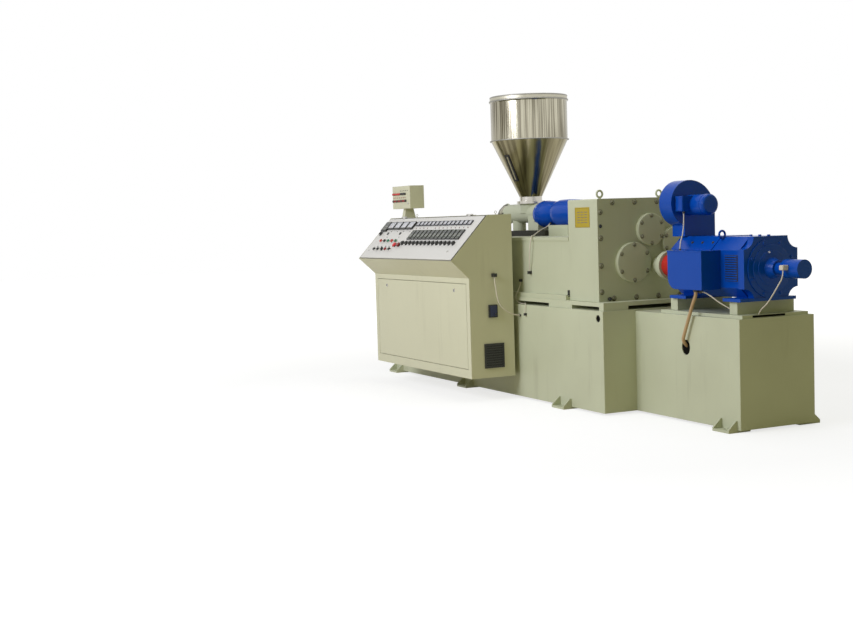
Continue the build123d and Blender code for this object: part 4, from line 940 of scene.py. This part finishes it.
# %% Nose and box lid of the blower's motor, plug of the encoder
nose = [disc(0.0665, -0.030, 0.012, blue, round_by=0.018, sides=40, segments=5),
        disc(0.070, -0.034, -0.026, blue, round_by=0.002, sides=40)]
fit("blower_nose", nose, on_end(1.635, 0.148, 1.409), "machine_blue")
box_lid = block((0.076, 0.096, 0.008), (1.472, 1.419, 0.002), blue, 0.0015)
box_lid = push_in(box_lid, 0.006, 0.007, 0.002, blue)
fit("blower_box_lid", [box_lid], on_front(0.0295), "machine_blue")
pale_plug = block((0.037, 0.047, 0.031), (2.300, 0.1715, 1.010), cable_white, 0.006)
fit("encoder_plug_cover", [pale_plug], None, "cable_white")

# %% [markdown]
# ## Hopper rim
#
# A rolled wire stiffens the drum's rim and a clamp ring holds the lid down, and both show as dark lines
# round the bright sheet. A third ring runs round the drum's lower end. A ring is a smoothed torus of
# few sides, drawn out to half as tall again.

# %% Rings of the hopper
def ring(radius, wire, height):
    """A round wire bent to a ring about the hopper's axis."""
    deselect()
    bpy.ops.mesh.primitive_torus_add(location=(*hopper_axis, height), major_radius=radius, minor_radius=wire,
                                     major_segments=72, minor_segments=10)
    made = bpy.context.object
    apply_place()
    draw_out((1, 1, 1.5), (*hopper_axis, height))
    return finished(made, turned_steel, 60)


rings = [ring(0.3185, 0.0045, 2.306), ring(0.313, 0.004, 2.338), ring(0.3195, 0.003, 1.988)]
fit("hopper_rings", rings, None, "stainless")

# %% [markdown]
# ## Feeder drive, window and sight glass
#
# The feeder's reducer and motor are small castings with swollen middles. Each is turned: a disc is
# pushed out along the axis and resized step by step, which gives the round shoulders a lathe or a
# pattern maker would. The window at the feeder's closed end looks up at the operator: a pane in a
# rubber ring on a flanged neck. The cone has a long sight glass in a rubber frame.

# %% Reducer and motor of the feeder
def turned(profile, sides=48):
    """A blue casting turned about Z, from pairs of height and radius."""
    height, radius = profile[0]
    deselect()
    bpy.ops.mesh.primitive_circle_add(vertices=sides, radius=radius, fill_type="NGON",
                                      location=(0, 0, height))
    made = bpy.context.object
    apply_place()
    edit_all()
    for next_height, next_radius in profile[1:]:
        bpy.ops.mesh.extrude_region_move(TRANSFORM_OT_translate={"value": (0, 0, next_height - height)})
        bpy.ops.transform.resize(value=(next_radius / radius, next_radius / radius, 1))
        height, radius = next_height, next_radius
    bpy.ops.mesh.select_all(action="SELECT")
    bpy.ops.mesh.normals_make_consistent(inside=False)
    return finished(made, blue, 40)


drive_axis = on_end(0, 0.2475, 1.385)
reducer_profile = [(-0.640, 0.068), (-0.637, 0.081), (-0.628, 0.092), (-0.610, 0.099), (-0.575, 0.103),
                   (-0.520, 0.104), (-0.470, 0.103), (-0.430, 0.099), (-0.400, 0.091), (-0.378, 0.080),
                   (-0.368, 0.076)]
reducer = [turned(reducer_profile)]
reducer += [disc(0.1065, low, low + 0.006, blue, round_by=0.0025, sides=48)
            for low in (-0.572, -0.548, -0.524)]
fit("feeder_reducer_casting", reducer, drive_axis, "machine_blue", "feeder_reducer")
motor_profile = [(-0.370, 0.074), (-0.364, 0.088), (-0.348, 0.101), (-0.320, 0.107), (-0.280, 0.109),
                 (-0.220, 0.109), (-0.160, 0.108), (-0.100, 0.105), (-0.030, 0.101), (0.000, 0.095),
                 (0.011, 0.080)]
feeder_drive = [turned(motor_profile),
                block((0.150, 0.090, 0.090), (0.058, 0.0, -0.324), blue, 0.004)]
fit("feeder_motor_casting", feeder_drive, drive_axis, "machine_blue", "feeder_motor")

# %% Window of the feeder
sight_pane = plastic("sight pane", (152, 146, 118), 0.15, 0.4)
neck_radius, flange_radius = 0.058, 0.070
window = [disc(neck_radius, -0.120, -0.008, bed_paint, sides=48),
          disc(flange_radius, -0.040, -0.028, bed_paint, round_by=0.002, sides=48),
          disc(flange_radius, -0.014, 0, bed_paint, round_by=0.002, sides=48),
          disc(neck_radius, -0.002, 0.004, rubber, round_by=0.0015, sides=48),
          disc(0.044, 0.002, 0.0055, sight_pane, sides=48)]
window += copies(hexagon(0.0035, 0.004, bed_paint), on_circle((0, 0), 0.064, 8))
window_place = facing((-1.172, 0.194, 1.431), (1, 0, 0), (0, 0.62, 0.78))
fit("feeder_window", window, window_place, "bed_paint", "feeder_window_port")

# %% Sight glass of the cone
lean, about, reach = radians(25.8), radians(283), 0.2035
sight_place = facing((hopper_axis[0] + reach * cos(about), hopper_axis[1] + reach * sin(about), 1.765),
                     (-sin(about), cos(about), 0),
                     (sin(lean) * cos(about), sin(lean) * sin(about), cos(lean)))
pane = push_in(block((0.050, 0.235, 0.016), (0, 0, 0), rubber, 0.003), 0.008, 0.012, 0.003, sight_pane)
fit("sight_glass", [pane], sight_place, "sight_glass", "hopper_sight_glass")

# %% [markdown]
# ## Studio
#
# The floor is a plain pale disc, and the surroundings are white where the camera, glass or gloss look
# at them. What lights the object is plainer: a large soft lamp at the front, a smaller one above, a
# grey sky that grows dimmer and warmer towards the motor's end, and a floor that throws warm light
# back. Together they give the shaded ends their olive tone.

# %% Floor
def looked_at(tree):
    """1 where the camera, glass or gloss look, and 0 where only light is gathered."""
    ray = put(tree, "LightPath").outputs
    mirrored = maths(tree, "MAXIMUM", ray["Is Glossy Ray"], ray["Is Transmission Ray"])
    return maths(tree, "MAXIMUM", ray["Is Camera Ray"], mirrored)


warm_floor, seen_floor = (0.62, 0.56, 0.40, 1), (0.34, 0.34, 0.34, 1)
glow_near, glow_gained = 0.72, 0.3
deselect()
bpy.ops.mesh.primitive_circle_add(vertices=96, radius=30, fill_type="NGON", location=(0, 0, 0))
floor = bpy.context.object
floor.name = "studio_floor"
floor_material, tree, shader = fresh_material("studio floor")
seen = looked_at(tree)
distance = put(tree, "VectorMath", operation="LENGTH", Vector=here(tree)).outputs["Value"]
far_away = product(tree, stretch(tree, distance, 3.0, 8.0), glow_gained)
glow = product(tree, seen, maths(tree, "ADD", far_away, glow_near))
give(tree, shader, Base_Color=tint(tree, seen, warm_floor, seen_floor), Roughness=0.9,
     Specular_IOR_Level=0.0, Emission_Color=(1, 1, 1, 1), Emission_Strength=glow)
floor.data.materials.append(floor_material)

# %% Surroundings
plain_sky, warm_sky = (0.42, 0.42, 0.42, 1), (0.245, 0.24, 0.088, 1)
world = bpy.data.worlds.new("studio")
bpy.context.scene.world = world
world.use_nodes = True
tree = world.node_tree
side = apart(tree, put(tree, "TexCoord").outputs["Generated"])
towards_motor = stretch(tree, side["X"], -0.35, 0.55)
light = tint(tree, towards_motor, plain_sky, warm_sky)
sky = tint(tree, looked_at(tree), light, (1, 1, 1, 1))
give(tree, tree.nodes["Background"], Color=sky, Strength=1.0)


# %% Lamps
def soft_lamp(name, place, target, watts, colour, size=4.0):
    """A square soft lamp that looks at a point."""
    data = bpy.data.lights.new(name, "AREA")
    data.size = size
    data.energy = watts
    data.color = colour
    lamp = bpy.data.objects.new(name, data)
    lamp.location = place
    lamp.rotation_euler = (Vector(target) - Vector(place)).to_track_quat("-Z", "Y").to_euler()
    bpy.context.collection.objects.link(lamp)


soft_lamp("front lamp", (0.6, -8.0, 4.8), (0, 0, 0.9), 440, (0.98, 1.0, 1.14))
soft_lamp("top lamp", (0.5, 0.5, 7.0), (0, 0, 1), 110, (1, 1, 1))
